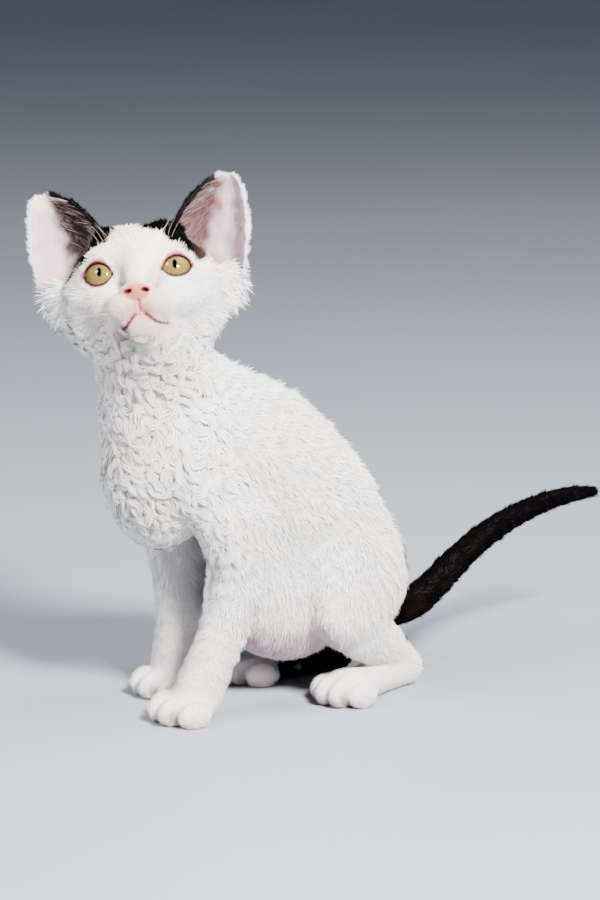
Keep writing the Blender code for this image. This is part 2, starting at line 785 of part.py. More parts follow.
def head_node():
    clay = clay_of((-60.0, -60.0, HEAD_CUT - 6.0), (66.0, 56.0, 236.0), HEAD_VOXEL)
    whole = clay.skin("head", HEAD_TRIANGLES)
    return sliced(whole, (0.0, 0.0, HEAD_CUT), (0.0, 0.0, 1.0), True)


def paw_node(name, place, ceiling):
    """One paw with its toes, flat underneath where it stands on the floor."""
    ends = np.array(place[:2])
    low = (*(ends.min(axis=0) - 24.0), -2.0)
    high = (*(ends.max(axis=0) + 24.0), ceiling + 3.0)
    whole = clay_of(low, high, PAW_VOXEL).skin(name, PAW_TRIANGLES)
    whole = sliced(whole, (0.0, 0.0, ceiling), (0.0, 0.0, 1.0), False)
    return sliced(whole, (0.0, 0.0, 0.0), (0.0, 0.0, 1.0), True, gap=0.0)


def tail_nodes():
    """The tail in three lengths, from the plane where it leaves the rump."""
    clay = clay_of((-24.0, TAIL_CUTS[0] - 8.0, 14.0), (22.0, 260.0, 80.0), TAIL_VOXEL)
    clay.add(Limb(TAIL, 3.0))
    whole = clay.skin("tail", TAIL_TRIANGLES)
    nodes = {}
    for name, start, end in zip(
        ("tail_root", "tail_middle", "tail_tip"), TAIL_CUTS, (*TAIL_CUTS[1:], None)
    ):
        node = sliced(copy_of(whole, name), (0.0, start, 0.0), (0.0, 1.0, 0.0), True)
        if end:
            node = sliced(node, (0.0, end, 0.0), (0.0, 1.0, 0.0), False)
        nodes[name] = node
    remove(whole)
    return nodes


def finished(obj, name, material, group, parent):
    """Names a node, centres its origin, gives it its material and puts it under the parent."""
    obj.name = name
    obj.data.name = name
    corners = np.array([tuple(v.co) for v in obj.data.vertices])
    centre = 0.5 * (corners.min(axis=0) + corners.max(axis=0))
    obj.data.transform(Matrix.Translation(-Vector(centre)))
    obj.location = Vector(centre) + MM * Vector(ORIGIN_SHIFT)
    obj.data.materials.clear()
    obj.data.materials.append(material)
    obj.data.shade_smooth()
    obj.data.set_sharp_from_angle(angle=math.radians(50.0))
    for old in obj.users_collection:
        old.objects.unlink(obj)
    group.objects.link(obj)
    obj.parent = parent


def material(name, colour, roughness):
    made = bpy.data.materials.new(name)
    made.use_nodes = True
    surface = made.node_tree.nodes["Principled BSDF"]
    surface.inputs["Base Color"].default_value = (*colour, 1.0)
    surface.inputs["Roughness"].default_value = roughness
    surface.inputs["Metallic"].default_value = 0.0
    made.diffuse_color = (*colour, 1.0)
    return made


def main():
    for obj in list(bpy.data.objects):
        bpy.data.objects.remove(obj)
    group = bpy.data.collections.new("devon_rex_kitten")
    bpy.context.scene.collection.children.link(group)
    parent = bpy.data.objects.new("kitten", None)
    group.objects.link(parent)
    nodes = trunk_nodes(curly=CURLY)
    nodes["head"] = head_node()
    nodes.update(tail_nodes())
    nodes["forepaw_left"] = paw_node("forepaw_left", FOREPAW_LEFT, FOREPAW_CUT)
    nodes["forepaw_right"] = paw_node("forepaw_right", FOREPAW_RIGHT, FOREPAW_CUT)
    nodes["hindpaw_left"] = paw_node("hindpaw_left", HINDPAW_LEFT, HINDPAW_CUT)
    nodes["hindpaw_right"] = paw_node("hindpaw_right", HINDPAW_RIGHT, HINDPAW_CUT)
    for side, word in ((1.0, "left"), (-1.0, "right")):
        shell = ear("ear_" + word, side)
        skull = grown(nodes["head"], PART_GAP)
        combine(shell, skull, "DIFFERENCE")
        remove(skull)
        nodes["ear_" + word] = largest_surface(shell)
        nodes["eye_" + word] = eyeball("eye_" + word, side, EYE_RADIUS)
    for name, obj in nodes.items():
        colour, roughness = COLOURS.get(name, COLOURS["coat"])
        finished(obj, name, material(name, colour, roughness), group, parent)


if __name__ == "__main__":
    main()
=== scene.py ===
"""A devon rex kitten, life size, in a low half sit, its head raised and turned to its left.

One skin is blended from the same balls and lofted limbs as the solids, a coat's depth inside
them. Over it lies a short wavy coat of small tufts, with curled locks on chest and throat.
Sizes are millimetres in the kitten's own frame (it faces -Y, its left is +X, the floor is
Z = 0), and placed() brings them to the frame's metres.
"""

import math

import bmesh
import bpy
import numpy as np
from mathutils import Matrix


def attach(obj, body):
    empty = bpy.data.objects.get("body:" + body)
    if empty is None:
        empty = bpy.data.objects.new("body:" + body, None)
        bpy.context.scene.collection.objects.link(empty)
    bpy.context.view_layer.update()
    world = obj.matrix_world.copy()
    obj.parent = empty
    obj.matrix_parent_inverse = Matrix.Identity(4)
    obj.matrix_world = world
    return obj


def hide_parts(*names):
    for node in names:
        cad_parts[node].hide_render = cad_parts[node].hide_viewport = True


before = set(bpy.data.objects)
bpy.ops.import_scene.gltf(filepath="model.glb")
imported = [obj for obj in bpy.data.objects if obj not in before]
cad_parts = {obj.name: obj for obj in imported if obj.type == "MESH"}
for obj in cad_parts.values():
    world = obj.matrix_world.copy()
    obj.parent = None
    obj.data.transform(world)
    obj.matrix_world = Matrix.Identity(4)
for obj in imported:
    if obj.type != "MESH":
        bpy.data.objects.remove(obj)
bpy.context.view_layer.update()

import openvdb
from mathutils import Matrix, Vector

# The body
# Flesh and bone under the skin: trunk, legs, paws, tail and head of a slender kitten about
# three months old. Each form is a distance on one grid, and the forms run into each other
# softly, as muscles do under skin.

MM = 0.001
FAR = 40.0
VOXEL = 0.6
GRID_LOW = np.array((-52.0, -46.0, -2.0))
GRID_HIGH = np.array((58.0, 256.0, 238.0))
ORIGIN_SHIFT = np.array((-2.5, -106.2, 0.0))

SPINE = [
    (9, 108, 42, 15, 15),
    (9, 97, 54, 23, 24),
    (9, 82, 70, 29, 32),
    (8, 65, 88, 31, 37),
    (6, 47, 106, 30, 37),
    (3, 29, 121, 28, 31.5),
    (2, 13, 137, 25, 26.5),
    (2, 3, 154, 22.5, 22),
    (4, 0, 172, 21, 20),
]
TRUNK_BALLS = [
    ((9, 64, 47), (28, 34, 31), 14),
    ((1, 4, 108), (25, 24, 36), 14),
    ((2, -1, 136), (21, 18, 22), 10),
    ((9, 98, 42), (24, 20, 22), 10),
    ((22, 14, 112), (12, 19, 22), 10),
    ((-18, 14, 112), (12, 19, 22), 10),
]
FORELEG_LEFT = [
    (25, 20, 100, 12, 17),
    (27, 27, 82, 13, 16.5),
    (27, 30, 62, 12.5, 14.5),
    (26, 24, 42, 11.4, 12.2),
    (25.5, 15, 24, 10.6, 11.2),
    (25, 9, 10, 11, 11.4),
]
FORELEG_RIGHT = [
    (-21, 18, 100, 12, 17),
    (-22, 23, 82, 13, 16.5),
    (-21, 26, 62, 12.5, 14.5),
    (-19, 25.5, 42, 11.4, 12.2),
    (-18, 24, 24, 10.6, 11.2),
    (-17.5, 22.5, 10, 11, 11.4),
]
THIGH_LEFT = [
    (22, 96, 66, 14, 22),
    (32, 89, 56, 14.5, 25),
    (38, 78, 46, 12, 20),
    (40.5, 71, 39, 9.5, 12),
]
SHANK_LEFT = [
    (39, 76, 37, 10, 13),
    (34, 92, 28, 9.6, 13),
    (27, 107, 18, 8.2, 10),
    (21.5, 116, 10, 7.4, 8.4),
]
THIGH_RIGHT = [
    (-6, 96, 66, 14, 24),
    (-16, 86, 56, 14.5, 27),
    (-23, 72, 46, 12, 20),
    (-25.5, 65, 39, 9.5, 12),
]
SHANK_RIGHT = [
    (-24, 70, 37, 10, 13),
    (-21, 84, 28, 9.6, 13),
    (-17, 97, 18, 8.2, 10),
    (-14, 105, 10, 7.4, 8.4),
]
TAIL = [
    (8, 104, 38, 11, 11),
    (7.5, 118, 32, 9.5, 9.5),
    (6, 133, 32, 8, 8),
    (4.5, 146, 38.5, 7.4, 7.4),
    (2, 159, 46.5, 7, 7),
    (-1, 174, 54.5, 6.5, 6.5),
    (-5, 194, 61.5, 5.9, 5.9),
    (-9, 216, 66, 5.1, 5.1),
    (-12.5, 236, 67.5, 4.3, 4.3),
    (-14, 249, 67, 3.2, 3.2),
]

# Paws: ankle or heel, middle toes, width, and whether it is a hind paw.
PAWS = {
    "forepaw_left": ((25.0, 9.0), (25.0, -4.0), 32.0, False),
    "forepaw_right": ((-17.5, 23.5), (-18.0, 11.0), 31.0, False),
    "hindpaw_left": ((23.0, 118.5), (38.0, 72.0), 29.0, True),
    "hindpaw_right": ((-14.0, 106.0), (-17.5, 57.0), 29.0, True),
}
TOES = [
    (-0.39, -4.6, (4.9, 8.2, 6.4)),
    (-0.135, 0.0, (5.3, 9.2, 7.2)),
    (0.135, 0.0, (5.3, 9.2, 7.2)),
    (0.39, -4.6, (4.9, 8.2, 6.4)),
]


def placed(points):
    """Millimetres of the kitten's own frame as metres of the shared frame."""
    return MM * (np.asarray(points, float) + ORIGIN_SHIFT)


def unit(vectors):
    """Vectors at length 1."""
    return vectors / (np.linalg.norm(vectors, axis=-1)[..., None] + 1e-9)


def smooth_sections(sections, steps):
    """The sections with steps - 1 more between each two, on a Catmull-Rom curve."""
    rows = np.array(sections, float)
    ends = np.vstack([rows[0], rows, rows[-1]])
    found = []
    for before, start, end, after in zip(ends, ends[1:], ends[2:], ends[3:]):
        for t in np.arange(steps) / steps:
            place = 2 * start + (end - before) * t
            place = place + (2 * before - 5 * start + 4 * end - after) * t * t
            place = place + (3 * start - before - 3 * end + after) * t**3
            found.append(0.5 * place)
    return np.array([*found, rows[-1]])


class Ball:
    """An ellipsoid, turned by a 3 x 3 matrix, that blends into what it is added to."""

    def __init__(self, centre, radii, blend=3.0, matrix=None):
        self.centre = np.array(centre, float)
        self.radii = np.array(radii, float)
        self.matrix = np.eye(3) if matrix is None else np.array(matrix)
        self.blend = blend
        reach = np.sqrt(((self.matrix * self.radii) ** 2).sum(axis=1)) + 1.5 * blend + 3.0
        self.boxes = [(self.centre - reach, self.centre + reach, None)]

    def distance(self, points, _):
        offset = [points[k] - self.centre[k] for k in range(3)]
        square, slope = 0.0, 0.0
        for k in range(3):
            own = sum(self.matrix[j, k] * offset[j] for j in range(3)) / self.radii[k]
            square = square + own * own
            slope = slope + (own / self.radii[k]) ** 2
        level = np.sqrt(square)
        return level * (level - 1.0) / np.sqrt(slope + 1e-9)


class Limb:
    """A loft through elliptical sections, each given as centre, half width and half height."""

    def __init__(self, sections, blend=3.0, side=(1.0, 0.0, 0.0), steps=4):
        self.rows = smooth_sections(sections, steps)
        self.side = np.array(side, float)
        self.blend = blend
        self.boxes = []
        for start, end in zip(self.rows, self.rows[1:]):
            reach = max(start[3:].max(), end[3:].max()) + 1.5 * blend + 3.0
            low = np.minimum(start[:3], end[:3]) - reach
            self.boxes.append((low, np.maximum(start[:3], end[:3]) + reach, (start, end)))

    def distance(self, points, section):
        start, end = section
        line = end[:3] - start[:3]
        length = np.linalg.norm(line)
        along = line / length
        across = self.side - along * (self.side @ along)
        across /= np.linalg.norm(across)
        up = np.cross(along, across)
        offset = [points[k] - start[k] for k in range(3)]
        run = sum(along[j] * offset[j] for j in range(3))
        share = np.clip(run / length, 0.0, 1.0)
        width = start[3] + share * (end[3] - start[3])
        height = start[4] + share * (end[4] - start[4])
        own = (
            sum(across[j] * offset[j] for j in range(3)) / width,
            sum(up[j] * offset[j] for j in range(3)) / height,
            (run - share * length) / np.minimum(width, height),
        )
        level = np.sqrt(own[0] ** 2 + own[1] ** 2 + own[2] ** 2)
        slope = (own[0] / width) ** 2 + (own[1] / height) ** 2 + (own[2] / width) ** 2
        return level * (level - 1.0) / np.sqrt(slope + 1e-9)


class Clay:
    """A grid of distances in millimetres, negative inside the body."""

    def __init__(self, low, high, voxel):
        self.low = np.array(low, float)
        self.voxel = voxel
        self.size = np.ceil((np.array(high) - self.low) / voxel).astype(int) + 1
        self.field = np.full(self.size, FAR, np.float32)

    def cells(self, low, high):
        start = np.clip(np.floor((low - self.low) / self.voxel).astype(int), 0, self.size)
        stop = np.clip(np.ceil((high - self.low) / self.voxel).astype(int), 0, self.size)
        return start, np.maximum(stop, start)

    def lines(self, start, stop):
        """The x, y and z of a block of cells, each along its own axis."""
        rows = [self.low[k] + self.voxel * np.arange(start[k], stop[k]) for k in range(3)]
        return np.meshgrid(*[r.astype(np.float32) for r in rows], indexing="ij", sparse=True)

    def distances(self, form):
        """The block of cells that a form reaches, and its distances there."""
        first, last = self.cells(
            np.min([box[0] for box in form.boxes], axis=0),
            np.max([box[1] for box in form.boxes], axis=0),
        )
        new = np.full(last - first, FAR, np.float32)
        for low, high, section in form.boxes:
            start, stop = self.cells(low, high)
            block = tuple(slice(a, b) for a, b in zip(start - first, stop - first))
            if new[block].size:
                found = form.distance(self.lines(start, stop), section)
                new[block] = np.minimum(new[block], found)
        return tuple(slice(a, b) for a, b in zip(first, last)), new

    def add(self, form):
        block, new = self.distances(form)
        self.mix(block, new, form.blend, np.minimum, -0.25)

    def carve(self, form):
        block, new = self.distances(form)
        self.mix(block, -new, form.blend, np.maximum, 0.25)

    def mix(self, block, new, blend, choose, share):
        old = self.field[block]
        near = np.clip(1.0 - np.abs(old - new) / blend, 0.0, None)
        self.field[block] = choose(old, new) + share * blend * near * near

    def at(self, points):
        """The distance at many points, read between the grid's own points."""
        place = (np.asarray(points, float) - self.low) / self.voxel
        cell = np.clip(np.floor(place).astype(int), 0, self.size - 2)
        share = place - cell
        found = 0.0
        for corner in np.ndindex(2, 2, 2):
            weight = np.prod(np.where(corner, share, 1.0 - share), axis=1)
            found = found + weight * self.field[tuple((cell + corner).T)]
        return found

    def normals(self, points):
        """The way out of the body at many points."""
        step = 0.8 * self.voxel
        slope = [self.at(points + step * e) - self.at(points - step * e) for e in np.eye(3)]
        return unit(np.array(slope).T)


def paw_lines(heel, toes):
    """The ways ahead and across of a paw on the floor."""
    ahead = (toes - heel) / np.linalg.norm(toes - heel)
    return ahead, np.array((-ahead[1], ahead[0]))


def paw_forms(heel, toes, width, hind):
    """A paw's forms: the foot from its ankle or heel, and four round toes side by side."""
    heel, toes = np.array(heel), np.array(toes)
    ahead, across = paw_lines(heel, toes)
    turn = math.atan2(ahead[1], ahead[0]) - 0.5 * math.pi
    axes = np.array(Matrix.Rotation(turn, 3, "Z"))
    forms = [Ball((*(toes - 7.5 * ahead), 6.6), (0.42 * width, 11.0, 7.6), 3.0, axes)]
    if hind:
        sole = [
            (*heel, 7.6, 7.4, 7.9),
            (*(heel + 0.3 * (toes - heel)), 7.0, 7.6, 7.8),
            (*(heel + 0.6 * (toes - heel)), 6.9, 9.6, 7.8),
            (*(heel + 0.82 * (toes - heel)), 6.6, 11.4, 7.6),
        ]
        forms.append(Limb(sole, 3.0, (*across, 0.0)))
    for slot, reach, size in TOES:
        centre = toes + across * slot * width + ahead * reach
        own = np.array(Matrix.Rotation(turn - math.radians(16.0 * slot), 3, "Z"))
        forms.append(Ball((*centre, size[2] - 1.2), size, 1.6, own))
    return forms


clay = Clay(GRID_LOW, GRID_HIGH, VOXEL)
clay.add(Limb(SPINE, 4.0))
for ball in TRUNK_BALLS:
    clay.add(Ball(*ball))
for pair, blend in (
    ((FORELEG_LEFT, FORELEG_RIGHT), 7.0),
    ((THIGH_LEFT, THIGH_RIGHT), 9.0),
    ((SHANK_LEFT, SHANK_RIGHT), 5.0),
):
    for sections in pair:
        clay.add(Limb(sections, blend))

# The head
# A short wedge with full cheeks, a soft muzzle with whisker pads and a strong chin. The lids
# are thin folds that lie on the eyeballs, and the nostrils and mouth are cut in last.

SKULL_CENTRE = (5.0, -4.8, 184.9)
HEAD_TURN = 54.5
HEAD_RAISE = 25.0
HEAD_TILT = 7.1
EYE_RADIUS = 8.6
EYE_PLACE = (14.9, -12.9, 3.0)
EYE_SPLAY = 15.0
EYE_GAP = 0.15
LID_THICKNESS = 1.3
LID_HALF_WIDTH = 7.3
LID_SLANT = 0.09
# The height of each eye's opening above and below its middle: the left one is narrower.
LID_HEIGHTS = {1.0: (4.7, 3.6), -1.0: (5.3, 4.3)}
NOSTRIL_PLACE = (3.6, -35.6, -9.9)
NOSTRIL_SIZE = (1.7, 3.2, 0.7)
NOSTRIL_SLANT = 20.0
MOUTH_WIDTH = 0.6
# The mouth runs from under the nose to its corners, and its right half is shorter.
MOUTH_LINES = {
    1.0: [
        (0, -37, -12.5),
        (0, -35, -17.4),
        (2.3, -34.5, -18.6),
        (4.6, -33, -20.6),
        (7.4, -30, -22.7),
        (10.7, -26, -23),
        (14.2, -22, -22.6),
    ],
    -1.0: [
        (0, -37, -12.5),
        (0, -35, -17.4),
        (2.4, -34, -19.5),
        (4.6, -32, -21.6),
        (6.4, -29.5, -23.6),
        (9.5, -26, -24.4),
    ],
}
HEAD_BALLS = [
    ((0, 5, 6), (24, 27, 24), 6),
    ((0, -8, 9), (18, 15.5, 15), 6),
    ((20, 2, 4), (12, 15, 15), 8),
    ((20.5, -4, -4), (11.5, 15.5, 12), 6),
    ((18.5, 5, -12.5), (13, 15, 12), 7),
    ((13, -16, -9), (9.5, 10, 8.5), 5),
    ((13.5, -14, 11.5), (9, 8.5, 5), 4),
    ((12, 3.5, 21.5), (9.5, 9, 9.5), 6),
    ((30.5, 4, -4), (8.8, 9, 9.3), 6),
    ((35.3, 5.2, 3), (6.2, 5.6, 7.5), 4),
    ((0, -10, -20), (14, 19, 9), 6),
    ((6.3, -26, -14.2), (8.4, 9.4, 7), 4.4),
    ((0, -25, -23.4), (7.6, 7.6, 6), 4),
]
NOSE_BALLS = [
    ((0, -32.4, -9.4), (4.6, 3.6, 3.6), 1.6),
    ((3.9, -31.5, -9.5), (3, 3.6, 2.5), 1.2),
]
NOSE_BRIDGE = [
    (0, -14, 9, 11, 9),
    (0, -22, 3, 6.6, 7),
    (0, -27.5, -3.5, 5.2, 5.4),
    (0, -31, -8.4, 4.9, 4.4),
]
THROAT = [
    (0, -12, -20, 15, 12),
    (0, 2, -24, 21, 16),
    (0, 14, -30, 22, 18),
]

head_matrix = (
    Matrix.Translation(SKULL_CENTRE)
    @ Matrix.Rotation(math.radians(HEAD_TURN), 4, "Z")
    @ Matrix.Rotation(math.radians(-HEAD_RAISE), 4, "X")
    @ Matrix.Rotation(math.radians(-HEAD_TILT), 4, "Y")
)
head_axes = np.array(head_matrix.to_3x3())


def from_head(points):
    """Points of the head's own axes (left, back, up from the skull's centre) in the body's."""
    return np.asarray(points, float) @ head_axes.T + np.array(SKULL_CENTRE)


def to_head(points):
    return (np.asarray(points, float) - np.array(SKULL_CENTRE)) @ head_axes


def head_limb(sections, blend):
    moved = [(*from_head(row[:3]), *row[3:]) for row in sections]
    return Limb(moved, blend, head_axes[:, 0])


def add_mirrored(balls):
    for (x, y, z), radii, blend in balls:
        for side in (1.0, -1.0) if x else (1.0,):
            clay.add(Ball(from_head((side * x, y, z)), radii, blend, head_axes))


def eye_axes(side):
    """An eye's own axes, across, back and up, as columns in the kitten's."""
    return head_axes @ np.array(Matrix.Rotation(math.radians(side * EYE_SPLAY), 3, "Z"))


def eye_centre(side):
    x, y, z = EYE_PLACE
    return from_head((side * x, y, z))


def outside_lids(across, up, side):
    """How far outside the lids' almond places on an eye's front lie, and how high on it."""
    up = up - LID_SLANT * across
    share = np.clip(1.0 - (across / LID_HALF_WIDTH) ** 2, 0.0, 1.0)
    upper, lower = LID_HEIGHTS[side]
    out = np.maximum(up - upper * share**0.62, -up - lower * share**0.8)
    return np.maximum(out, np.abs(across) - LID_HALF_WIDTH), up


class LidOpening:
    """The almond between the lids, as a cone that widens from the eye's centre."""

    def __init__(self, side):
        self.centre = eye_centre(side)
        self.axes = eye_axes(side)
        self.side = side
        self.blend = 0.9
        reach = 2.2 * EYE_RADIUS
        self.boxes = [(self.centre - reach, self.centre + reach, None)]

    def distance(self, points, _):
        offset = [points[k] - self.centre[k] for k in range(3)]
        across, back, up = (
            sum(self.axes[j, k] * offset[j] for j in range(3)) for k in range(3)
        )
        scale = EYE_RADIUS / np.maximum(-back, 1.0)
        out, _ = outside_lids(across * scale * self.side, up * scale, self.side)
        return np.where(back < -1.0, out, FAR)


clay.add(head_limb(THROAT, 8.0))
add_mirrored(HEAD_BALLS[:-2])
clay.add(head_limb(NOSE_BRIDGE, 4.0))
add_mirrored(HEAD_BALLS[-2:])
for place in PAWS.values():
    for form in paw_forms(*place):
        clay.add(form)
clay.add(Limb(TAIL, 5.0, steps=10))

# The coat's depth
# The solids reach to the tips of the coat. The skin lies inside them by the depth of the fur:
# about two millimetres on the body, one on the face and less on the feet.

DEPTH_BODY = 1.9
DEPTH_HEAD = 0.9
DEPTH_FEET = 0.8
DEPTH_TAIL = 1.1


def ramp(value, start, stop):
    """0 before start, 1 after stop and smooth between them."""
    share = np.clip((value - start) / (stop - start), 0.0, 1.0)
    return share * share * (3.0 - 2.0 * share)


def coat_depth(x, y, z):
    skull = np.sqrt(
        (x - SKULL_CENTRE[0]) ** 2 + (y - SKULL_CENTRE[1]) ** 2 + (z - SKULL_CENTRE[2]) ** 2
    )
    head = 1.0 - ramp(skull, 36.0, 46.0)
    feet = 1.0 - ramp(z, 12.0, 34.0)
    tail = ramp(y, 116.0, 128.0)
    depth = DEPTH_BODY - (DEPTH_BODY - DEPTH_FEET) * feet
    depth = depth + (DEPTH_TAIL - depth) * tail
    return depth + (DEPTH_HEAD - depth) * head


clay.field += coat_depth(*clay.lines((0, 0, 0), clay.size)).astype(np.float32)
add_mirrored(NOSE_BALLS)

# The ears
# Very large cups of thin skin over gristle, wide at the base and open to the front. Each is a
# curved sheet that runs into the skull. Their backs are furred, and their insides almost bare.

EAR_SECTIONS = [
    ((30, -1, -1), (37, 6.5, -7), 5),
    ((27.5, -4, 5), (40.5, 6.5, -3), 11.5),
    ((22.5, -4, 14), (43, 5.5, 6), 16),
    ((16, 0.5, 25), (45.4, 4.5, 17), 17),
    ((17.8, 4, 33), (46.6, 5, 28), 15),
    ((22.8, 6, 40.5), (46.4, 6.5, 37), 11.5),
    ((28.2, 7.5, 46.2), (45.4, 8, 44.3), 8),
    ((33.6, 9, 50.2), (43.9, 9.2, 49.2), 4.5),
    ((38, 10, 52.3), (42, 10, 51.7), 1.6),
]
EAR_BULGE = np.array((-0.18, 0.98, 0.05))
EAR_WALL = 1.3
EAR_COLUMNS = 32


def ear_sheet(side):
    """The middle of an ear's sheet as a grid of points, from pocket to tip, edge to edge."""
    table = smooth_sections([(*i, *o, d) for i, o, d in EAR_SECTIONS], 6)
    around = np.linspace(-1.0, 1.0, EAR_COLUMNS + 1)[None, :, None]
    inner, outer, depth = table[:, None, :3], table[:, None, 3:6], table[:, None, 6:]
    angle = 0.5 * math.pi * around * 1.06
    sheet = 0.5 * (inner + outer) + 0.5 * (outer - inner) * np.sin(angle)
    sheet = sheet + EAR_BULGE * depth * np.cos(angle)
    return sheet * (side, 1.0, 1.0)


def closed_sheet(sheet, wall):
    """Both faces of a sheet and its rim, as points and quads."""
    rows, columns = sheet.shape[:2]
    normal = unit(np.cross(np.gradient(sheet, axis=0), np.gradient(sheet, axis=1)))
    points = np.concatenate([sheet + 0.5 * wall * normal, sheet - 0.5 * wall * normal])
    count = rows * columns
    index = np.arange(count).reshape(rows, columns)
    near = np.stack([index[:-1, :-1], index[:-1, 1:], index[1:, 1:], index[1:, :-1]], axis=-1)
    near = near.reshape(-1, 4)
    rim = np.concatenate([index[0, :-1], index[:-1, -1], index[-1, :0:-1], index[:0:-1, 0]])
    following = np.roll(rim, -1)
    edge = np.stack([following, rim, rim + count, following + count], axis=-1)
    return points.reshape(-1, 3), np.concatenate([near, near[:, ::-1] + count, edge])


ear_points = {side: ear_sheet(side) for side in (1.0, -1.0)}
for sheet in ear_points.values():
    points, quads = closed_sheet(sheet, EAR_WALL)
    place = (from_head(points) - clay.low) / VOXEL
    shell = openvdb.FloatGrid.createLevelSetFromPolygons(
        place.astype(np.float32), quads=quads.astype(np.uint32), halfWidth=9.0
    )
    start = np.maximum(np.floor(place.min(axis=0)).astype(int) - 10, 0)
    stop = np.minimum(np.ceil(place.max(axis=0)).astype(int) + 10, clay.size)
    near = np.full(stop - start, 9.0, np.float32)
    shell.copyToArray(near, tuple(int(v) for v in start))
    block = tuple(slice(a, b) for a, b in zip(start, stop))
    clay.mix(block, VOXEL * near, 3.2, np.minimum, -0.25)

for side in (1.0, -1.0):
    clay.add(Ball(eye_centre(side), [EYE_RADIUS + LID_THICKNESS] * 3, 2.6))
for side in (1.0, -1.0):
    clay.carve(LidOpening(side))
    clay.carve(Ball(eye_centre(side), [EYE_RADIUS + EYE_GAP] * 3, 0.4))
    x, y, z = NOSTRIL_PLACE
    slant = np.array(Matrix.Rotation(math.radians(side * NOSTRIL_SLANT), 3, "Y"))
    place = from_head((side * x, y, z))
    clay.carve(Ball(place, NOSTRIL_SIZE, 0.4, head_axes @ slant))
mouth_lines = {}
for side in (1.0, -1.0):
    inside = from_head((0.0, -20.0, -18.0))
    groove = []
    for x, y, z in MOUTH_LINES[side]:
        outside = from_head((side * x, y, z))
        step = (outside - inside) / np.linalg.norm(outside - inside)
        reach = np.arange(4.0, 40.0, 0.1)
        out = clay.at(inside + reach[:, None] * step) >= 0.0
        groove.append((*(inside + reach[out.argmax()] * step), MOUTH_WIDTH, MOUTH_WIDTH))
    mouth_lines[side] = np.array(groove)[:, :3]
    clay.carve(Limb(groove, 0.5, head_axes[:, 0]))

# The skin
# One thin skin over all of it, without a seam, pink where it is bare and pale under the coat.
# It takes the markings' colours with their painted shade, and under the coat also the tufts'
# painted shade, so that it never shows through the fur in another colour.

SKIN_TRIANGLES = 150000
WHITE_COAT = "F6F2EE"
WHITE_DEPTH = 0.88
BLACK_COAT = "060505"
# The share of the coat's red, green and blue that is left on the skin in the tufts' shade.
UNDER_COAT = (0.80, 0.70, 0.69)


def linear(code):
    """An sRGB hex colour as linear red, green and blue."""
    found = []
    for k in (0, 2, 4):
        value = int(code[k : k + 2], 16) / 255.0
        found.append(value / 12.92 if value < 0.04045 else ((value + 0.055) / 1.055) ** 2.4)
    return np.array(found)


def add_object(name, data):
    made = bpy.data.objects.new(name, data)
    bpy.context.scene.collection.objects.link(made)
    return made


clay_grid = openvdb.FloatGrid(3.0 * VOXEL)
clay_grid.copyFromArray(np.clip(clay.field, -3.0 * VOXEL, 3.0 * VOXEL))
points, quads = clay_grid.convertToQuads(0.0)
points = points * VOXEL + clay.low
points[:, 2] = np.maximum(points[:, 2], 0.0)
mesh = bpy.data.meshes.new("skin")
mesh.from_pydata(placed(points), [], quads)
skin = add_object("skin", mesh)
fewer = skin.modifiers.new("fewer", "DECIMATE")
fewer.ratio = SKIN_TRIANGLES / (2.0 * len(quads))
fewer.use_collapse_triangulate = True
bpy.context.view_layer.objects.active = skin
bpy.ops.object.modifier_apply(modifier="fewer")
mesh = skin.data
mesh.shade_smooth()


def read(data, name, width, kind=np.float32):
    found = np.empty(len(data) * width, kind)
    data.foreach_get(name, found)
    return found.reshape(-1, width) if width > 1 else found


skin_points = read(mesh.vertices, "co", 3) / MM - ORIGIN_SHIFT
skin_normals = clay.normals(skin_points)
skin_faces = read(mesh.polygons, "vertices", 3, np.int32)

# The markings and painted shade
# White all over, but for a black tail, a black right hind leg with white toes, black backs of
# the ears and two black patches on the crown with a white blaze between them. Skin shows pink
# at the nose, lips, lids and pads, and faintly through the thin coat of belly and flanks.
# Painted shade darkens the belly's underside, the right of the chin under the lip, the
# nostrils, the mouth's crease and the clefts between the toes.

# How high the white of the face reaches at each distance from the middle, left and right.
BLAZE_LEFT = (
    (0, 1, 3.1, 5.7, 8.2, 10.7, 13.1, 16.5, 19.6, 24.6, 30),
    (30, 24.1, 23.2, 21, 19, 16.9, 14.3, 12.1, 9.9, 7.6, 6),
)
BLAZE_RIGHT = (
    (7, 7.8, 9.4, 10.6, 11.6, 12.4, 15.3, 17.4, 20.7, 23, 30),
    (32, 27.3, 26, 24.2, 19.6, 17.3, 16.9, 13.1, 10.7, 10.2, 8),
)
BLAZE_MIDDLE = -3.4
BLAZE_HALF_WIDTH = 4.2
NIPPLES = [(20.6, 39.4, 30.0), (31.7, 57.2, 30.0), (-4.0, 40.0, 27.0), (-8.0, 58.0, 28.0)]


def noise(points, scale, seed, octaves=2):
    """Smooth noise between about -1 and 1, with features of one scale in millimetres."""
    draw = np.random.RandomState(seed)
    found = 0.0
    for octave in range(octaves):
        waves = draw.normal(size=(12, 3)) * 2.4 / (scale * 0.5**octave)
        phase = draw.uniform(0.0, 2.0 * math.pi, 12)
        found = found + 0.5**octave * np.sin(points @ waves.T + phase).sum(axis=1) / 3.4
    return found


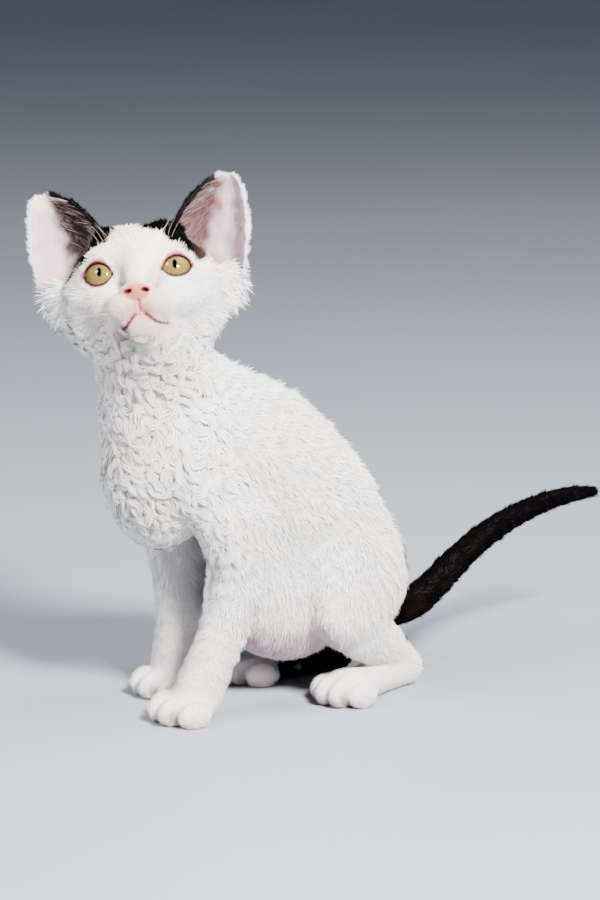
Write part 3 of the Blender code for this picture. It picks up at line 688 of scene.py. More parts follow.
def ear_places(local):
    """At points of the head's axes: how far off an ear's sheet they are, how far up it (0 to
    1), how far around it (-1 at the inner edge, 1 at the outer), and the way to its middle."""
    side = np.where(local[:, 0] >= 0.0, 1.0, -1.0)
    mirrored = local * np.stack([side, np.ones_like(side), np.ones_like(side)], axis=1)
    sheet = ear_points[1.0][::2]
    rows, columns = sheet.shape[:2]
    middle = 0.5 * (sheet[:, 0] + sheet[:, -1]) + (0.0, -2.0, 0.0)
    table = np.empty((rows, columns, 5))
    table[:, :, 0] = np.linspace(0.0, 1.0, rows)[:, None]
    table[:, :, 1] = np.linspace(-1.0, 1.0, columns)
    table[:, :, 2:] = middle[:, None]
    table = table.reshape(-1, 5)
    least = np.full(len(local), 99.0)
    found = np.zeros((len(local), 5))
    reach = np.linalg.norm(mirrored - (34.0, 6.0, 22.0), axis=1)
    near = np.where(reach < 44.0)[0]
    for part in np.array_split(near, len(near) // 3000 + 1):
        gap = np.linalg.norm(mirrored[part][:, None] - sheet.reshape(-1, 3)[None], axis=2)
        least[part] = gap.min(axis=1)
        weight = np.exp(-((gap**2 - least[part][:, None] ** 2) / 2.0))
        found[part] = weight @ table / weight.sum(axis=1)[:, None]
    inward = (found[:, 2:] - mirrored) * np.stack([side, side**2, side**2], axis=1)
    return least, found[:, 0], found[:, 1], inward


def ear_base(local):
    """1 in the thick fluff at the lower outer edge of each ear, 0 away from it."""
    away = (np.abs(local) - (37.0, 4.0, 1.0)) * (1.0 / 9.0, 0.1, 1.0 / 14.0)
    return ramp(np.linalg.norm(away, axis=1), 1.15, 0.5)


def lid_distance(points, side):
    """How far outside an eye's lids points lie, how high, and how near to the eye (0 to 1)."""
    own = (points - eye_centre(side)) @ eye_axes(side)
    scale = EYE_RADIUS / np.maximum(-own[:, 1], 1.0)
    out, up = outside_lids(own[:, 0] * scale * side, own[:, 2] * scale, side)
    near = ramp(np.linalg.norm(own, axis=1), 12.6, 10.4) * (own[:, 1] < -1.0)
    return out, up, near


def line_distance(points, line):
    """The distance of points to a broken line."""
    least = np.full(len(points), 99.0)
    for start, end in zip(line, line[1:]):
        step = end - start
        share = np.clip((points - start) @ step / (step @ step), 0.0, 1.0)
        gap = np.linalg.norm(points - start - share[:, None] * step, axis=1)
        least = np.minimum(least, gap)
    return least


def markings_and_painted_shade(points, normals):
    """The coat's colour at each point, with its painted shade, and how bare the skin is there.
    """
    local = to_head(points)
    facing = normals @ head_axes
    x, y, z = local.T
    rough = noise(points, 7.0, 3, 3)
    skull = np.linalg.norm(local, axis=1)
    gap, row, around, inward = ear_places(local)
    ear = ramp(gap, 4.5, 2.8) * ramp(row, 0.05, 0.12)
    inside = ear * ramp(np.sum(facing * inward, axis=1), -1.0, 1.5)
    inside = inside * np.maximum(ramp(around, -0.99, -0.9), ramp(row, 0.36, 0.42))
    inside = inside * (1.0 - ear_base(local))
    off = np.abs(x - BLAZE_MIDDLE) + 0.7 * rough
    edge = np.interp(-x, *BLAZE_RIGHT, left=60.0)
    edge = np.where(x > 0.0, np.interp(x, *BLAZE_LEFT), edge)
    behind = np.where(off > BLAZE_HALF_WIDTH, 4.0 - 0.5 * y, 60.0)
    edge = np.where(y > 1.0, np.minimum(edge, behind), edge)
    patch = ramp(z - edge + 1.3 * rough, -0.8, 0.8) * (skull < 50.0) * (1.0 - inside)
    patch = patch * ramp(np.abs(x) - 0.7 * np.maximum(y - 1.0, 0.0), 29.5, 27.0)
    lateral = ramp(z + 2.0 * rough - 7.0 * ramp(np.abs(x), 30.0, 40.0), 4.0, 8.0)
    tip = ramp(row + 0.03 * rough - np.where(x > 0.0, 0.84, 0.95), 0.0, 0.05)
    back = (1.0 - tip) * ear * (1.0 - inside) * lateral * ramp(around + 0.12 * rough, 0.9, 0.74)
    patch = np.maximum(patch, back)
    tail = ramp(points[:, 1] + 1.5 * rough, 111.0, 114.0) * ramp(points[:, 2], 19.0, 23.0)
    leg = ramp(-points[:, 0] + 1.5 * rough, 3.0, 6.0) * ramp(points[:, 1] + rough, 68.0, 71.0)
    leg = leg * ramp(62.0 - points[:, 2] + 3.0 * rough, -2.0, 2.0)
    black = np.clip(np.maximum.reduce([patch, tail, leg]), 0.0, 1.0)
    colour = np.tile(WHITE_DEPTH * linear(WHITE_COAT), (len(points), 1))
    bare = np.zeros(len(points))

    def tint(amount, code):
        nonlocal colour
        colour = colour + np.clip(amount, 0.0, 1.0)[:, None] * (linear(code) - colour)

    cloud = noise(points, 26.0, 5)
    tint(0.5 * ramp(cloud, 0.0, 1.0), "F8E9E2")
    tint(0.5 * ramp(-cloud, 0.0, 1.0), "E9EBF1")
    # Pink skin faintly through the thin coat, with painted shade, violet-grey, on the underside
    # that faces the floor.
    belly_pink_and_shade = ramp(points[:, 1], 30.0, 40.0) * ramp(points[:, 1], 84.0, 70.0)
    belly_pink_and_shade = belly_pink_and_shade * ramp(points[:, 2], 42.0, 26.0) * ramp(-normals[:, 2], -0.1, 0.6)
    tint(0.7 * belly_pink_and_shade, "B893A2")
    for place in NIPPLES:
        away = np.linalg.norm(points - place, axis=1)
        tint(0.75 * ramp(away, 4.2, 1.6), "D58C90")
    tint(black, BLACK_COAT)
    tint(black * 0.5 * ramp(noise(points, 16.0, 8), 0.1, 1.0), "160E0B")
    across = around - np.where(x > 0.0, 0.1, 0.16) * ramp(row, 0.8, 0.6)
    tint(0.6 * black * (x > 0.0) * ramp(x, 22.0, 27.0) * (skull < 50.0), "3E2E2A")
    light = ramp(across + 0.06 * rough + 0.5 * ramp(row, 0.2, 0.0), -0.2, 0.16)
    light = np.maximum(light, ramp(row + 0.06 * rough, 0.80, 0.92) * ramp(around, -0.7, -0.4))
    light = np.maximum(light, tip)
    tint(inside * (x > 0.0), "54393A")
    tint(inside * (x <= 0.0), "2E2320")
    tint(0.5 * inside * (x > 0.0) * ramp(around, -0.45, -0.8), "33231F")
    tint(inside * light, "D0BBC8")
    tint(0.8 * inside * light * ramp(around, 0.55, 0.9), "E9DDDF")
    tint(inside * light * ramp(row + 0.1 * rough, 0.80, 0.94), "EDE4E2")
    pocket = inside * ramp(z, 1.0, 5.0)
    tint(0.8 * pocket * ramp(row, 0.42, 0.2) * ramp(around, -0.6, 0.1), "D09C92")
    tint(0.85 * pocket * ramp(z, 12.0, 6.5) * ramp(np.abs(x), 36.0, 33.0), "A9766C")
    fold = 0.4 * (x <= 0.0) * ramp(row, 0.8, 0.92)
    rim = ear * ramp(around - fold + 0.05 * rough, -0.86, -0.94) * ramp(row, 0.28, 0.36)
    tint(rim * (1.0 - tip), BLACK_COAT)
    muzzle = ramp(np.sqrt((x / 1.25) ** 2 + (y + 33.0) ** 2 + (z + 15.0) ** 2), 15.0, 5.0)
    tint(0.42 * muzzle * (z < -4.0), "CF9D95")
    bridge = ramp(np.abs(x), 7.0, 3.0) * ramp(z, -1.0, -6.5) * ramp(y, -24.0, -30.0)
    tint(0.45 * bridge, "CF8D84")
    tall = np.where(z > -10.1, 2.7, 3.8)
    nose = np.sqrt((x / (6.0 + 0.22 * (z + 10.0))) ** 2 + ((z + 10.1) / tall) ** 2)
    nose = ramp(nose, 1.12, 0.92) * ramp(y, -28.5, -30.5)
    tint(nose, "B4665D")
    bare = np.maximum(bare, nose)
    for side in (1.0, -1.0):
        # The nostrils: dark skin, deepened to almost black as painted shade in their hollows.
        nostril = (local - np.array(NOSTRIL_PLACE) * (side, 1.0, 1.0)) / (2.2, 4.0, 1.3)
        tint(0.95 * ramp(np.linalg.norm(nostril, axis=1), 1.15, 0.7), "4E1B17")
        mouth = line_distance(points, mouth_lines[side])
        tint(0.5 * ramp(mouth, 2.3, 1.0), "C87A74")
        # Painted shade: almost black in the crease along the lower side of the mouth's line.
        tint(0.95 * ramp(mouth, 1.05, 0.55) * ramp(z, -17.5, -19.0), "4A2422")
        tint(0.55 * ramp(mouth, 0.9, 0.4) * ramp(z, -19.0, -17.5), "B5645E")
        bare = np.maximum(bare, ramp(mouth, 1.1, 0.7))
        out, up, near = lid_distance(points, side)
        pink = out - 1.3 * ramp(up, -1.0, 2.5)
        tint(0.95 * near * ramp(pink, 1.9, 1.2), "B65250")
        tint(near * ramp(out, 1.35, 0.75), "1E1311")
        bare = np.maximum(bare, near * ramp(pink, 2.3, 1.5))
    # Painted shadow: grey on the right of the chin, where the upper lip pad shades it.
    chin_lip_shadow = np.linalg.norm((local - (-8.5, -23.0, -25.5)) / (8.0, 8.0, 3.6), axis=1)
    tint(0.62 * ramp(chin_lip_shadow + 0.25 * rough, 1.15, 0.55), "59565F")
    # Browner under the left side of the jaw.
    under_jaw_patch = np.linalg.norm((local - (8.0, -9.5, -33.5)) / (5.0, 5.0, 4.0), axis=1)
    tint(0.5 * ramp(under_jaw_patch + 0.3 * rough, 1.2, 0.4), "A98A7C")
    for heel, toes, width, _ in PAWS.values():
        ahead, across = paw_lines(np.array(heel), np.array(toes))
        along = (points[:, :2] - toes) @ ahead
        across = (points[:, :2] - toes) @ across / width
        seam = np.min([np.abs(across - k) for k in (-0.262, 0.0, 0.262)], axis=0) * width
        front = ramp(along, -4.0, 3.0) * (along < 16.0) * (np.abs(across) < 0.6)
        front = front * ramp(points[:, 2], 13.0, 8.0)
        # Painted shade: brown in the clefts between the toes.
        tint(0.6 * front * ramp(seam, 1.3, 0.4) * ramp(points[:, 2], 11.0, 5.0), "6E432F")
        tint(0.8 * front * ramp(points[:, 2], 3.4, 1.8) * ramp(seam, 0.8, 2.0), "D99B98")
    return colour, bare


colours, bareness = markings_and_painted_shade(skin_points, skin_normals)


def set_colours(mesh, values):
    layer = mesh.color_attributes.new("markings_and_painted_shade", "FLOAT_COLOR", "POINT")
    whole = np.concatenate([values, np.ones((len(values), 1))], axis=1)
    layer.data.foreach_set("color", whole.astype(np.float32).ravel())


bareness = bareness[:, None]
set_colours(mesh, colours * bareness + colours * UNDER_COAT * (1.0 - bareness))


def new_material(name, settings):
    """A material whose surface has these settings, and that surface."""
    made = bpy.data.materials.new(name)
    made.use_nodes = True
    surface = made.node_tree.nodes["Principled BSDF"]
    for socket, value in settings.items():
        surface.inputs[socket].default_value = value
    return made, surface


def node(material, kind, links=(), **settings):
    """Adds a node with its settings, and links (socket, output) to its inputs."""
    made = material.node_tree.nodes.new(kind)
    for key, value in settings.items():
        setattr(made, key, value)
    for socket, source in links:
        if hasattr(source, "is_output"):
            material.node_tree.links.new(source, made.inputs[socket])
        else:
            made.inputs[socket].default_value = source
    return made


def marked_material(name, settings):
    """A material coloured by the markings and painted shade on the mesh, and its surface."""
    made, surface = new_material(name, settings)
    marks = node(made, "ShaderNodeAttribute", attribute_name="markings_and_painted_shade")
    made.node_tree.links.new(marks.outputs["Color"], surface.inputs["Base Color"])
    return made, surface


# Thin kitten skin, matt and slightly translucent, with the fine grain of pores and creases.
skin_finish, surface = marked_material(
    "kitten_skin_matt",
    {
        "Roughness": 0.6,
        "Specular IOR Level": 0.1,
        "Subsurface Weight": 0.12,
        "Subsurface Radius": (0.004, 0.0015, 0.001),
    },
)
where = node(skin_finish, "ShaderNodeTexCoord")
grain = node(
    skin_finish,
    "ShaderNodeTexNoise",
    [("Vector", where.outputs["Object"]), ("Scale", 900.0), ("Detail", 4.0)],
)
relief = node(
    skin_finish,
    "ShaderNodeBump",
    [("Height", grain.outputs[0]), ("Strength", 0.3), ("Distance", 0.0004)],
)
skin_finish.node_tree.links.new(relief.outputs["Normal"], surface.inputs["Normal"])
mesh.materials.append(skin_finish)

FLESH = [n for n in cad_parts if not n.startswith("eye_")]
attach(skin, "root")
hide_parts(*FLESH)

# The eyes
# Amber eyes with an upright slit of a pupil, darker towards the rim and, as painted shadow,
# under the upper lid. Each is a wet ball whose clear front bulges over the iris.

IRIS_RADIUS = 7.4
PUPIL = (1.05, 2.1)
EYE_SPLAY_IRIS = 7.0
EYE_RAISE_IRIS = 6.0


def add_eye(name, side):
    shape = bmesh.new()
    bmesh.ops.create_uvsphere(shape, u_segments=96, v_segments=64, radius=EYE_RADIUS)
    own = np.array([tuple(v.co) for v in shape.verts])
    splay = Matrix.Rotation(math.radians(side * EYE_SPLAY_IRIS), 3, "Z")
    gaze = splay @ Matrix.Rotation(math.radians(90.0 - EYE_RAISE_IRIS), 3, "X")
    turn = head_axes @ np.array(gaze)
    radius = np.hypot(own[:, 0], own[:, 1])
    bulged = own.copy()
    bulge = 0.45 * np.clip(1.0 - (radius / IRIS_RADIUS) ** 2, 0.0, None)
    bulged[:, 2] += np.where(own[:, 2] > 0.0, bulge, 0.0)
    for vert, place in zip(shape.verts, placed(bulged @ turn.T + eye_centre(side))):
        vert.co = place
    mesh = bpy.data.meshes.new(name)
    shape.to_mesh(mesh)
    shape.free()
    mesh.shade_smooth()
    angle = np.arctan2(own[:, 1], own[:, 0])
    fibre = 0.5 + 0.25 * np.sin(31.0 * angle + 2.0 * np.sin(7.0 * angle + radius))
    fibre = fibre + 0.25 * np.sin(53.0 * angle + 1.5 * radius)
    pupil = np.sqrt((own[:, 0] / PUPIL[0]) ** 2 + (own[:, 1] / PUPIL[1]) ** 2)
    amber = linear("7B6537")
    amber = amber + (linear("493917") - amber) * fibre[:, None] * 0.7
    inner = ramp(radius, 4.4, 1.5)[:, None]
    amber = amber + inner * 0.35 * (linear("5E5023") - amber)
    amber = amber * (1.0 - 0.45 * ramp(radius, 4.6, 7.0)[:, None])
    # Painted shadow of the upper lid: the top of the iris darker.
    amber = amber * (1.0 - 0.55 * ramp(own[:, 1], 1.2, 5.2)[:, None])
    rim = linear("241712")
    ring = ramp(radius, IRIS_RADIUS - 1.3, IRIS_RADIUS - 0.5)[:, None]
    colour = amber + ring * (rim - amber)
    colour = colour * ramp(pupil, 0.94, 1.1)[:, None]
    colour = np.where(own[:, 2:] > 0.0, colour, rim)
    set_colours(mesh, colour)
    mesh.materials.append(eye_finish)
    return add_object(name, mesh)


# Wet cornea: mirror-smooth, as clear as water over the iris.
eye_finish, _ = marked_material(
    "eye_wet_cornea",
    {
        "Roughness": 0.4,
        "Specular IOR Level": 0.0,
        "Coat Weight": 1.0,
        "Coat Roughness": 0.02,
        "Coat IOR": 1.376,
    },
)

for side, word in ((1.0, "left"), (-1.0, "right")):
    eye = add_eye("eyeball_" + word, side)
    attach(eye, "root")
    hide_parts("eye_" + word)

# The coat
# Short, soft fur that lies back along the body in small waves and clumps. Each tuft is a thin
# tapered blade with three sides that starts in the skin, leans along the lie and ends in a tip.

WAVE_LENGTH = 7.5
WAVE_HEIGHT = 0.34
CLUMP_SIZE = 3.6
LIMBS = [SPINE[::-1], FORELEG_LEFT, FORELEG_RIGHT, THIGH_LEFT, SHANK_LEFT]
LIMBS += [THIGH_RIGHT, SHANK_RIGHT, TAIL]


def tangent(way, normals):
    """The part of each direction that lies in the skin, at length 1."""
    flat = way - normals * np.sum(way * normals, axis=1)[:, None]
    return flat / (np.linalg.norm(flat, axis=1)[:, None] + 1e-6)


def lie_at(points, normals):
    """Which way the coat lies (back from the nose, down the legs, along the tail), and how
    far along the body each point is, which sets the phase of the coat's waves."""
    way = np.zeros_like(points)
    run, whole = np.zeros(len(points)), np.full(len(points), 1e-9)
    for limb, rows in enumerate(LIMBS):
        rows = smooth_sections(rows, 3)
        gone = 17.0 * limb
        for start, end in zip(rows, rows[1:]):
            middle = 0.5 * (start[:3] + end[:3])
            length = np.linalg.norm(end[:3] - start[:3])
            along = (end[:3] - start[:3]) / length
            offset = points - middle
            gap = np.linalg.norm(offset, axis=1) - 0.5 * (start[3] + start[4])
            weight = np.exp(-((np.maximum(gap, 0.0) / 9.0) ** 2)) * length
            way = way + along * weight[:, None]
            run = run + weight * (gone + 0.5 * length + offset @ along)
            whole = whole + weight
            gone += length
    way = way / whole[:, None]
    local = to_head(points)
    side = np.where(local[:, :1] > 0.0, 1.0, -1.0) * (1.0, 0.0, 0.0)
    back = local - (0.0, -34.0, -8.0)
    back = back / (np.linalg.norm(back, axis=1)[:, None] + 1e-6)
    head = 1.0 - ramp(np.linalg.norm(local, axis=1), 34.0, 46.0)
    gap, row, around, _ = ear_places(local)
    up = 0.25 * side + (0.0, 0.1, 0.95) + 0.5 * around[:, None] * side
    ear = ramp(gap, 6.0, 2.0) * ramp(row, 0.12, 0.25)
    back = back + ear[:, None] * (up - back)
    fluff = ear_base(local)[:, None]
    back = back + fluff * (0.75 * side + (0.0, -0.1, -0.6) - back)
    head = np.maximum(head, ear)
    way = way + head[:, None] * (back @ head_axes.T - way)
    return tangent(way + (0.0, 0.0, -0.02), normals), run / whole


def turned_about(vectors, axes, angles):
    """Each vector turned about its own axis, to which it is at right angles."""
    side = np.cross(axes, vectors)
    return vectors * np.cos(angles)[:, None] + side * np.sin(angles)[:, None]


def wave_phase(points, run):
    return 2.0 * math.pi * (run + 2.8 * noise(points, 20.0, 21, 1)) / WAVE_LENGTH


def curliness(points):
    """1 where the coat grows in curled locks: throat, chest and the front of the forelegs."""
    x, y, z = points.T
    around = np.arctan2(x - 2.0, 22.0 - y)
    front = ramp(np.abs(around + 0.12 * noise(points, 12.0, 25, 1)), 1.75, 1.1)
    bottom = 80.0 + 5.0 * noise(points, 12.0, 27, 1)
    return front * ramp(z, bottom - 18.0, bottom) * ramp(z, 176.0, 164.0)


def coat_at(points):
    """The coat's length, rise and width at each point, in millimetres."""
    _, y, z = points.T
    local = to_head(points)
    length = 3.4 - 0.9 * ramp(z, 90.0, 24.0) - 0.8 * ramp(z, 24.0, 10.0)
    rise = 1.45 - 0.35 * ramp(z, 90.0, 24.0) - 0.45 * ramp(z, 24.0, 10.0)
    length = length + 0.5 * curliness(points)
    tail = ramp(y, 112.0, 124.0)
    length = length + tail * (2.8 - length)
    rise = rise + tail * (0.95 - rise)
    head = 1.0 - ramp(np.linalg.norm(local, axis=1), 38.0, 47.0)
    nose = np.linalg.norm(local - (0.0, -33.0, -12.0), axis=1)
    face = 1.15 + 1.7 * ramp(nose, 6.0, 40.0)
    cheek = ramp(local[:, 2], -4.0, -14.0) * ramp(np.abs(local[:, 0]), 12.0, 22.0)
    cheek = cheek * ramp(local[:, 1], -24.0, -10.0)
    crown = ramp(local[:, 2], 20.0, 27.0) * ramp(np.abs(local[:, 0]), 6.0, 12.0)
    face = face + 1.2 * cheek + 0.8 * crown
    length = length + head * (face - length)
    rise = rise + head * (0.46 + 0.2 * face - rise)
    fluff = ear_base(local)
    length = length + fluff * (4.6 - length)
    rise = rise + fluff * (1.9 - rise)
    gap, row, around, _ = ear_places(local)
    ear = ramp(gap, 3.2, 2.0) * ramp(row, 0.1, 0.2) * (1.0 - fluff)
    rim = ear * ramp(np.abs(around), 0.8, 0.97)
    length = length + ear * (1.3 - length) + 0.5 * rim
    rise = rise + ear * (0.42 - rise) + 0.35 * rim
    return length, rise, 0.25 + 0.07 * length


# The skin itself follows the coat's waves, so that they show from every side.
skin_normals = read(mesh.vertex_normals, "vector", 3)
_, run = lie_at(skin_points, skin_normals)
x, y, z = skin_points.T
wavy = ramp(z, 15.0, 110.0) * ramp(np.linalg.norm(to_head(skin_points), axis=1), 38.0, 50.0)
wavy = wavy * ramp(y, 130.0, 112.0) * (1.0 - 0.6 * curliness(skin_points))
swell = WAVE_HEIGHT * wavy * np.sin(wave_phase(skin_points, run))
swell = swell + 0.22 * wavy * noise(skin_points, 6.0, 29, 1)
skin_points = skin_points + skin_normals * swell[:, None]
mesh.vertices.foreach_set("co", placed(skin_points).astype(np.float32).ravel())
mesh.update()
skin_normals = read(mesh.vertex_normals, "vector", 3)

face_corners = skin_points[skin_faces]
face_area = 0.5 * np.linalg.norm(
    np.cross(face_corners[:, 1] - face_corners[:, 0], face_corners[:, 2] - face_corners[:, 0]),
    axis=1,
)
face_middle = face_corners.mean(axis=1)
face_local = to_head(face_middle)
face_gap, face_row, _, _ = ear_places(face_local)
face_ear = (face_gap < 2.6) & (face_row > 0.08)


def roots_on(chosen, spacing, seed):
    """Points spread evenly over the chosen faces, about one to each square of the spacing,
    with the skin's normal and the place on its map at each."""
    draw = np.random.RandomState(seed)
    weight = face_area * chosen
    count = int(4.0 * weight.sum() / spacing**2)
    face = draw.choice(len(weight), count, p=weight / weight.sum())
    u, v = draw.random_sample((2, count))
    flip = u + v > 1.0
    u, v = np.where(flip, 1.0 - u, u), np.where(flip, 1.0 - v, v)
    share = np.stack([1.0 - u - v, u, v], axis=1)[:, :, None]
    points = (face_corners[face] * share).sum(axis=1)
    cell = np.floor(points / (0.93 * spacing)).astype(np.int64)
    key = (cell[:, 0] * 4001 + cell[:, 1]) * 4001 + cell[:, 2]
    _, first = np.unique(key, return_index=True)
    face, share = face[first], share[first]
    normals = (skin_normals[skin_faces[face]] * share).sum(axis=1)
    normals /= np.linalg.norm(normals, axis=1)[:, None]
    return points[first], normals, (skin_uv[face] * share).sum(axis=1)


# The skin is unwrapped once, and each tuft's own patch of the map lies where its root does.
bpy.ops.object.select_all(action="DESELECT")
skin.select_set(True)
bpy.ops.object.mode_set(mode="EDIT")
bpy.ops.mesh.select_all(action="SELECT")
bpy.ops.uv.smart_project(angle_limit=math.radians(70.0), island_margin=0.004)
bpy.ops.object.mode_set(mode="OBJECT")
mesh = skin.data
mesh.uv_layers[0].name = "OFBake"
skin_uv = read(mesh.uv_layers[0].data, "uv", 2).reshape(-1, 3, 2)

FLOOR_GAP = 0.12
TUFT_PATCH = 0.003
TUFT_CORNERS = np.array([(-0.5, -0.29), (0.5, -0.29), (0.0, 0.58)]) * TUFT_PATCH


def add_coat(name, paths, normals, widths, colours, patches):
    """Joins one three-sided, tapered blade along each path into a single mesh."""
    count, rings = paths.shape[0], paths.shape[1] - 1
    along = np.gradient(paths, axis=1)
    across = unit(np.cross(normals[:, None], along))
    above = unit(np.cross(along, across))
    half = 0.5 * widths[:, :rings, None]
    centre = paths[:, :rings]
    left = centre - across[:, :rings] * half - above[:, :rings] * half * 0.25
    right = centre + across[:, :rings] * half - above[:, :rings] * half * 0.25
    ridge = centre + above[:, :rings] * half * 0.55
    corners = np.stack([left, right, ridge], axis=2).reshape(count, rings * 3, 3)
    verts = np.concatenate([corners, paths[:, rings:]], axis=1)
    slopes = [-across[:, :rings], across[:, :rings], above[:, :rings]]
    own = np.stack(slopes, axis=2).reshape(count, rings * 3, 3) + 0.4 * normals[:, None]
    own = np.concatenate([own, above[:, rings:]], axis=1)
    shading = unit(own + normals[:, None])
    faces = [(0, 2, 1)]
    for ring in range(rings - 1):
        a, b = 3 * ring, 3 * ring + 3
        for k in range(3):
            n = (k + 1) % 3
            faces += [(a + k, a + n, b + n), (a + k, b + n, b + k)]
    a = 3 * (rings - 1)
    faces += [(a + k, a + (k + 1) % 3, 3 * rings) for k in range(3)]
    faces = np.array(faces)
    size = 3 * rings + 1
    index = (faces[None] + size * np.arange(count)[:, None, None]).reshape(-1, 3)
    verts[..., 2] = np.maximum(verts[..., 2], FLOOR_GAP)
    mesh = bpy.data.meshes.new(name)
    mesh.vertices.add(count * size)
    mesh.vertices.foreach_set("co", placed(verts.reshape(-1, 3)).astype(np.float32).ravel())
    mesh.loops.add(index.size)
    mesh.loops.foreach_set("vertex_index", index.ravel().astype(np.int32))
    mesh.polygons.add(len(index))
    mesh.polygons.foreach_set("loop_start", np.arange(0, index.size, 3, dtype=np.int32))
    mesh.update(calc_edges=True)
    mesh.shade_smooth()
    set_colours(mesh, np.clip(colours, 0.0, 0.96).reshape(-1, 3))
    patch = patches[:, None, None] + TUFT_CORNERS
    patch = np.broadcast_to(patch, (count, len(faces), 3, 2))
    layer = mesh.uv_layers.new(name="OFBake")
    layer.data.foreach_set("uv", patch.astype(np.float32).ravel())
    mesh.normals_split_custom_set_from_vertices(shading.reshape(-1, 3))
    mesh.materials.append(fur_finish)
    made = add_object(name, mesh)
    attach(made, "root")


def painted_blade_shade(root, tip, rings):
    """Painted shade along a blade's corners: three to each ring from root to tip, and the tip.
    """
    return np.concatenate([np.repeat(np.linspace(root, 1.0, rings), 3), [tip]])[None, :, None]


# Soft kitten fur: matt, without any shine of its own, so that its form shows by shade.
fur_finish, _ = marked_material("short_fur_soft", {"Roughness": 0.8, "Specular IOR Level": 0.0})


def short_coat(name, chosen, spacing, seed, bends=1):
    """A short coat of tufts over the chosen faces, each laid down along the lie. Tips of
    neighbours lean together into clumps, the coat swells and swings with its waves, and no
    tuft reaches over an eye."""
    points, normals, patch = roots_on(chosen, spacing, seed)
    draw = np.random.RandomState(seed + 500)
    lie, run = lie_at(points, normals)
    count = len(points)
    length, rise, width = coat_at(points)
    free = ramp(length, 1.2, 3.2)
    phase = wave_phase(points, run)
    swirl = 0.28 * np.cos(phase) + 0.35 * noise(points, 9.0, 23, 1)
    swirl = swirl * (0.4 + 0.6 * free) + draw.normal(0.0, 0.16 + 0.1 * free, count)
    lie = turned_about(lie, normals, swirl)
    side = np.cross(normals, lie)
    clump = noise(points, CLUMP_SIZE, 35, 1)
    lean = (noise(points + 0.5 * side, CLUMP_SIZE, 35, 1) - clump) / 0.5
    lean = np.clip(1.1 * lean, -1.0, 1.0) * 0.24 * length
    stray = (draw.random_sample(count) < 0.1) * (0.3 + 0.7 * free)
    reach = length * draw.uniform(0.75, 1.2, count) * (1.0 + 0.5 * stray)
    rise = rise * draw.uniform(0.7, 1.2, count) * (1.0 + 0.6 * stray)
    width = width * (1.0 + 0.5 * stray)
    rise = rise * (1.0 + 0.25 * np.sin(phase) + 0.3 * np.clip(clump, -1.0, 1.0) * free)
    paths = np.empty((count, bends + 1, 3))
    for k in range(bends + 1):
        t = k / bends
        height = -0.3 + (rise + 0.3) * math.sin(0.5 * math.pi * min(1.0, 1.1 * t))
        place = points + lie * (reach * t)[:, None] + side * (lean * t * t)[:, None]
        paths[:, k] = place + normals * height[:, None]
    own, bare = markings_and_painted_shade(points, normals)
    # Random tone, with painted shade: lighter on the waves' crests and on raised clumps.
    tone = draw.uniform(0.86, 1.03, count) * (1.0 + 0.03 * np.sin(phase) + 0.05 * clump)
    # Painted shade and light: each tuft darker at its root and lighter at its tip.
    colour = (own * tone[:, None])[:, None] * painted_blade_shade(0.74, 1.08, bends)
    widths = (width * draw.uniform(0.8, 1.2, count))[:, None] * np.linspace(1.0, 0.4, bends + 1)
    keep = bare < draw.uniform(0.25, 0.6, count)
    for eye_side in (1.0, -1.0):
        out, _, near = lid_distance(paths[:, -1], eye_side)
        keep &= (near < 0.1) | (out > 0.9)
    add_coat(
        name, paths[keep], normals[keep], widths[keep], colour[keep], patch[keep],
    )


above_floor = face_middle[:, 2] > 0.5
face_head = (np.linalg.norm(face_local, axis=1) < 46.0) & ~face_ear & (face_middle[:, 2] > 150.0)
face_tail = face_middle[:, 1] > 116.0
face_feet = (face_middle[:, 2] < 22.0) & ~face_tail & above_floor
face_body = ~face_head & ~face_ear & ~face_tail & ~face_feet & above_floor
face_left = face_middle[:, 0] > 6.0
face_fore = face_middle[:, 1] < 48.0

short_coat("coat_face_left", face_head & (face_local[:, 0] > 0.0), 0.52, 11)
short_coat("coat_face_right", face_head & (face_local[:, 0] <= 0.0), 0.52, 10)
short_coat("coat_ears", face_ear, 0.62, 12)
short_coat("coat_feet", face_feet, 0.7, 13)
short_coat("coat_tail", face_tail, 0.62, 14)
short_coat("coat_left_fore", face_body & face_left & face_fore, 0.66, 15)
short_coat("coat_right_fore", face_body & ~face_left & face_fore, 0.7, 16)
short_coat("coat_left_hind", face_body & face_left & ~face_fore, 0.66, 17)
short_coat("coat_right_hind", face_body & ~face_left & ~face_fore, 0.7, 18)

# The curls
# On throat, chest and the front of the forelegs the coat is longer and grows in locks about
# three millimetres broad. The strands of a lock bend together to one side, like a comma.

LOCK_STRANDS = 11
LOCK_STEPS = 5
LOCK_WIDTH = 0.48
LOCK_TAPER = (0.9, 1.1, 1.1, 0.95, 0.7, 0.3)


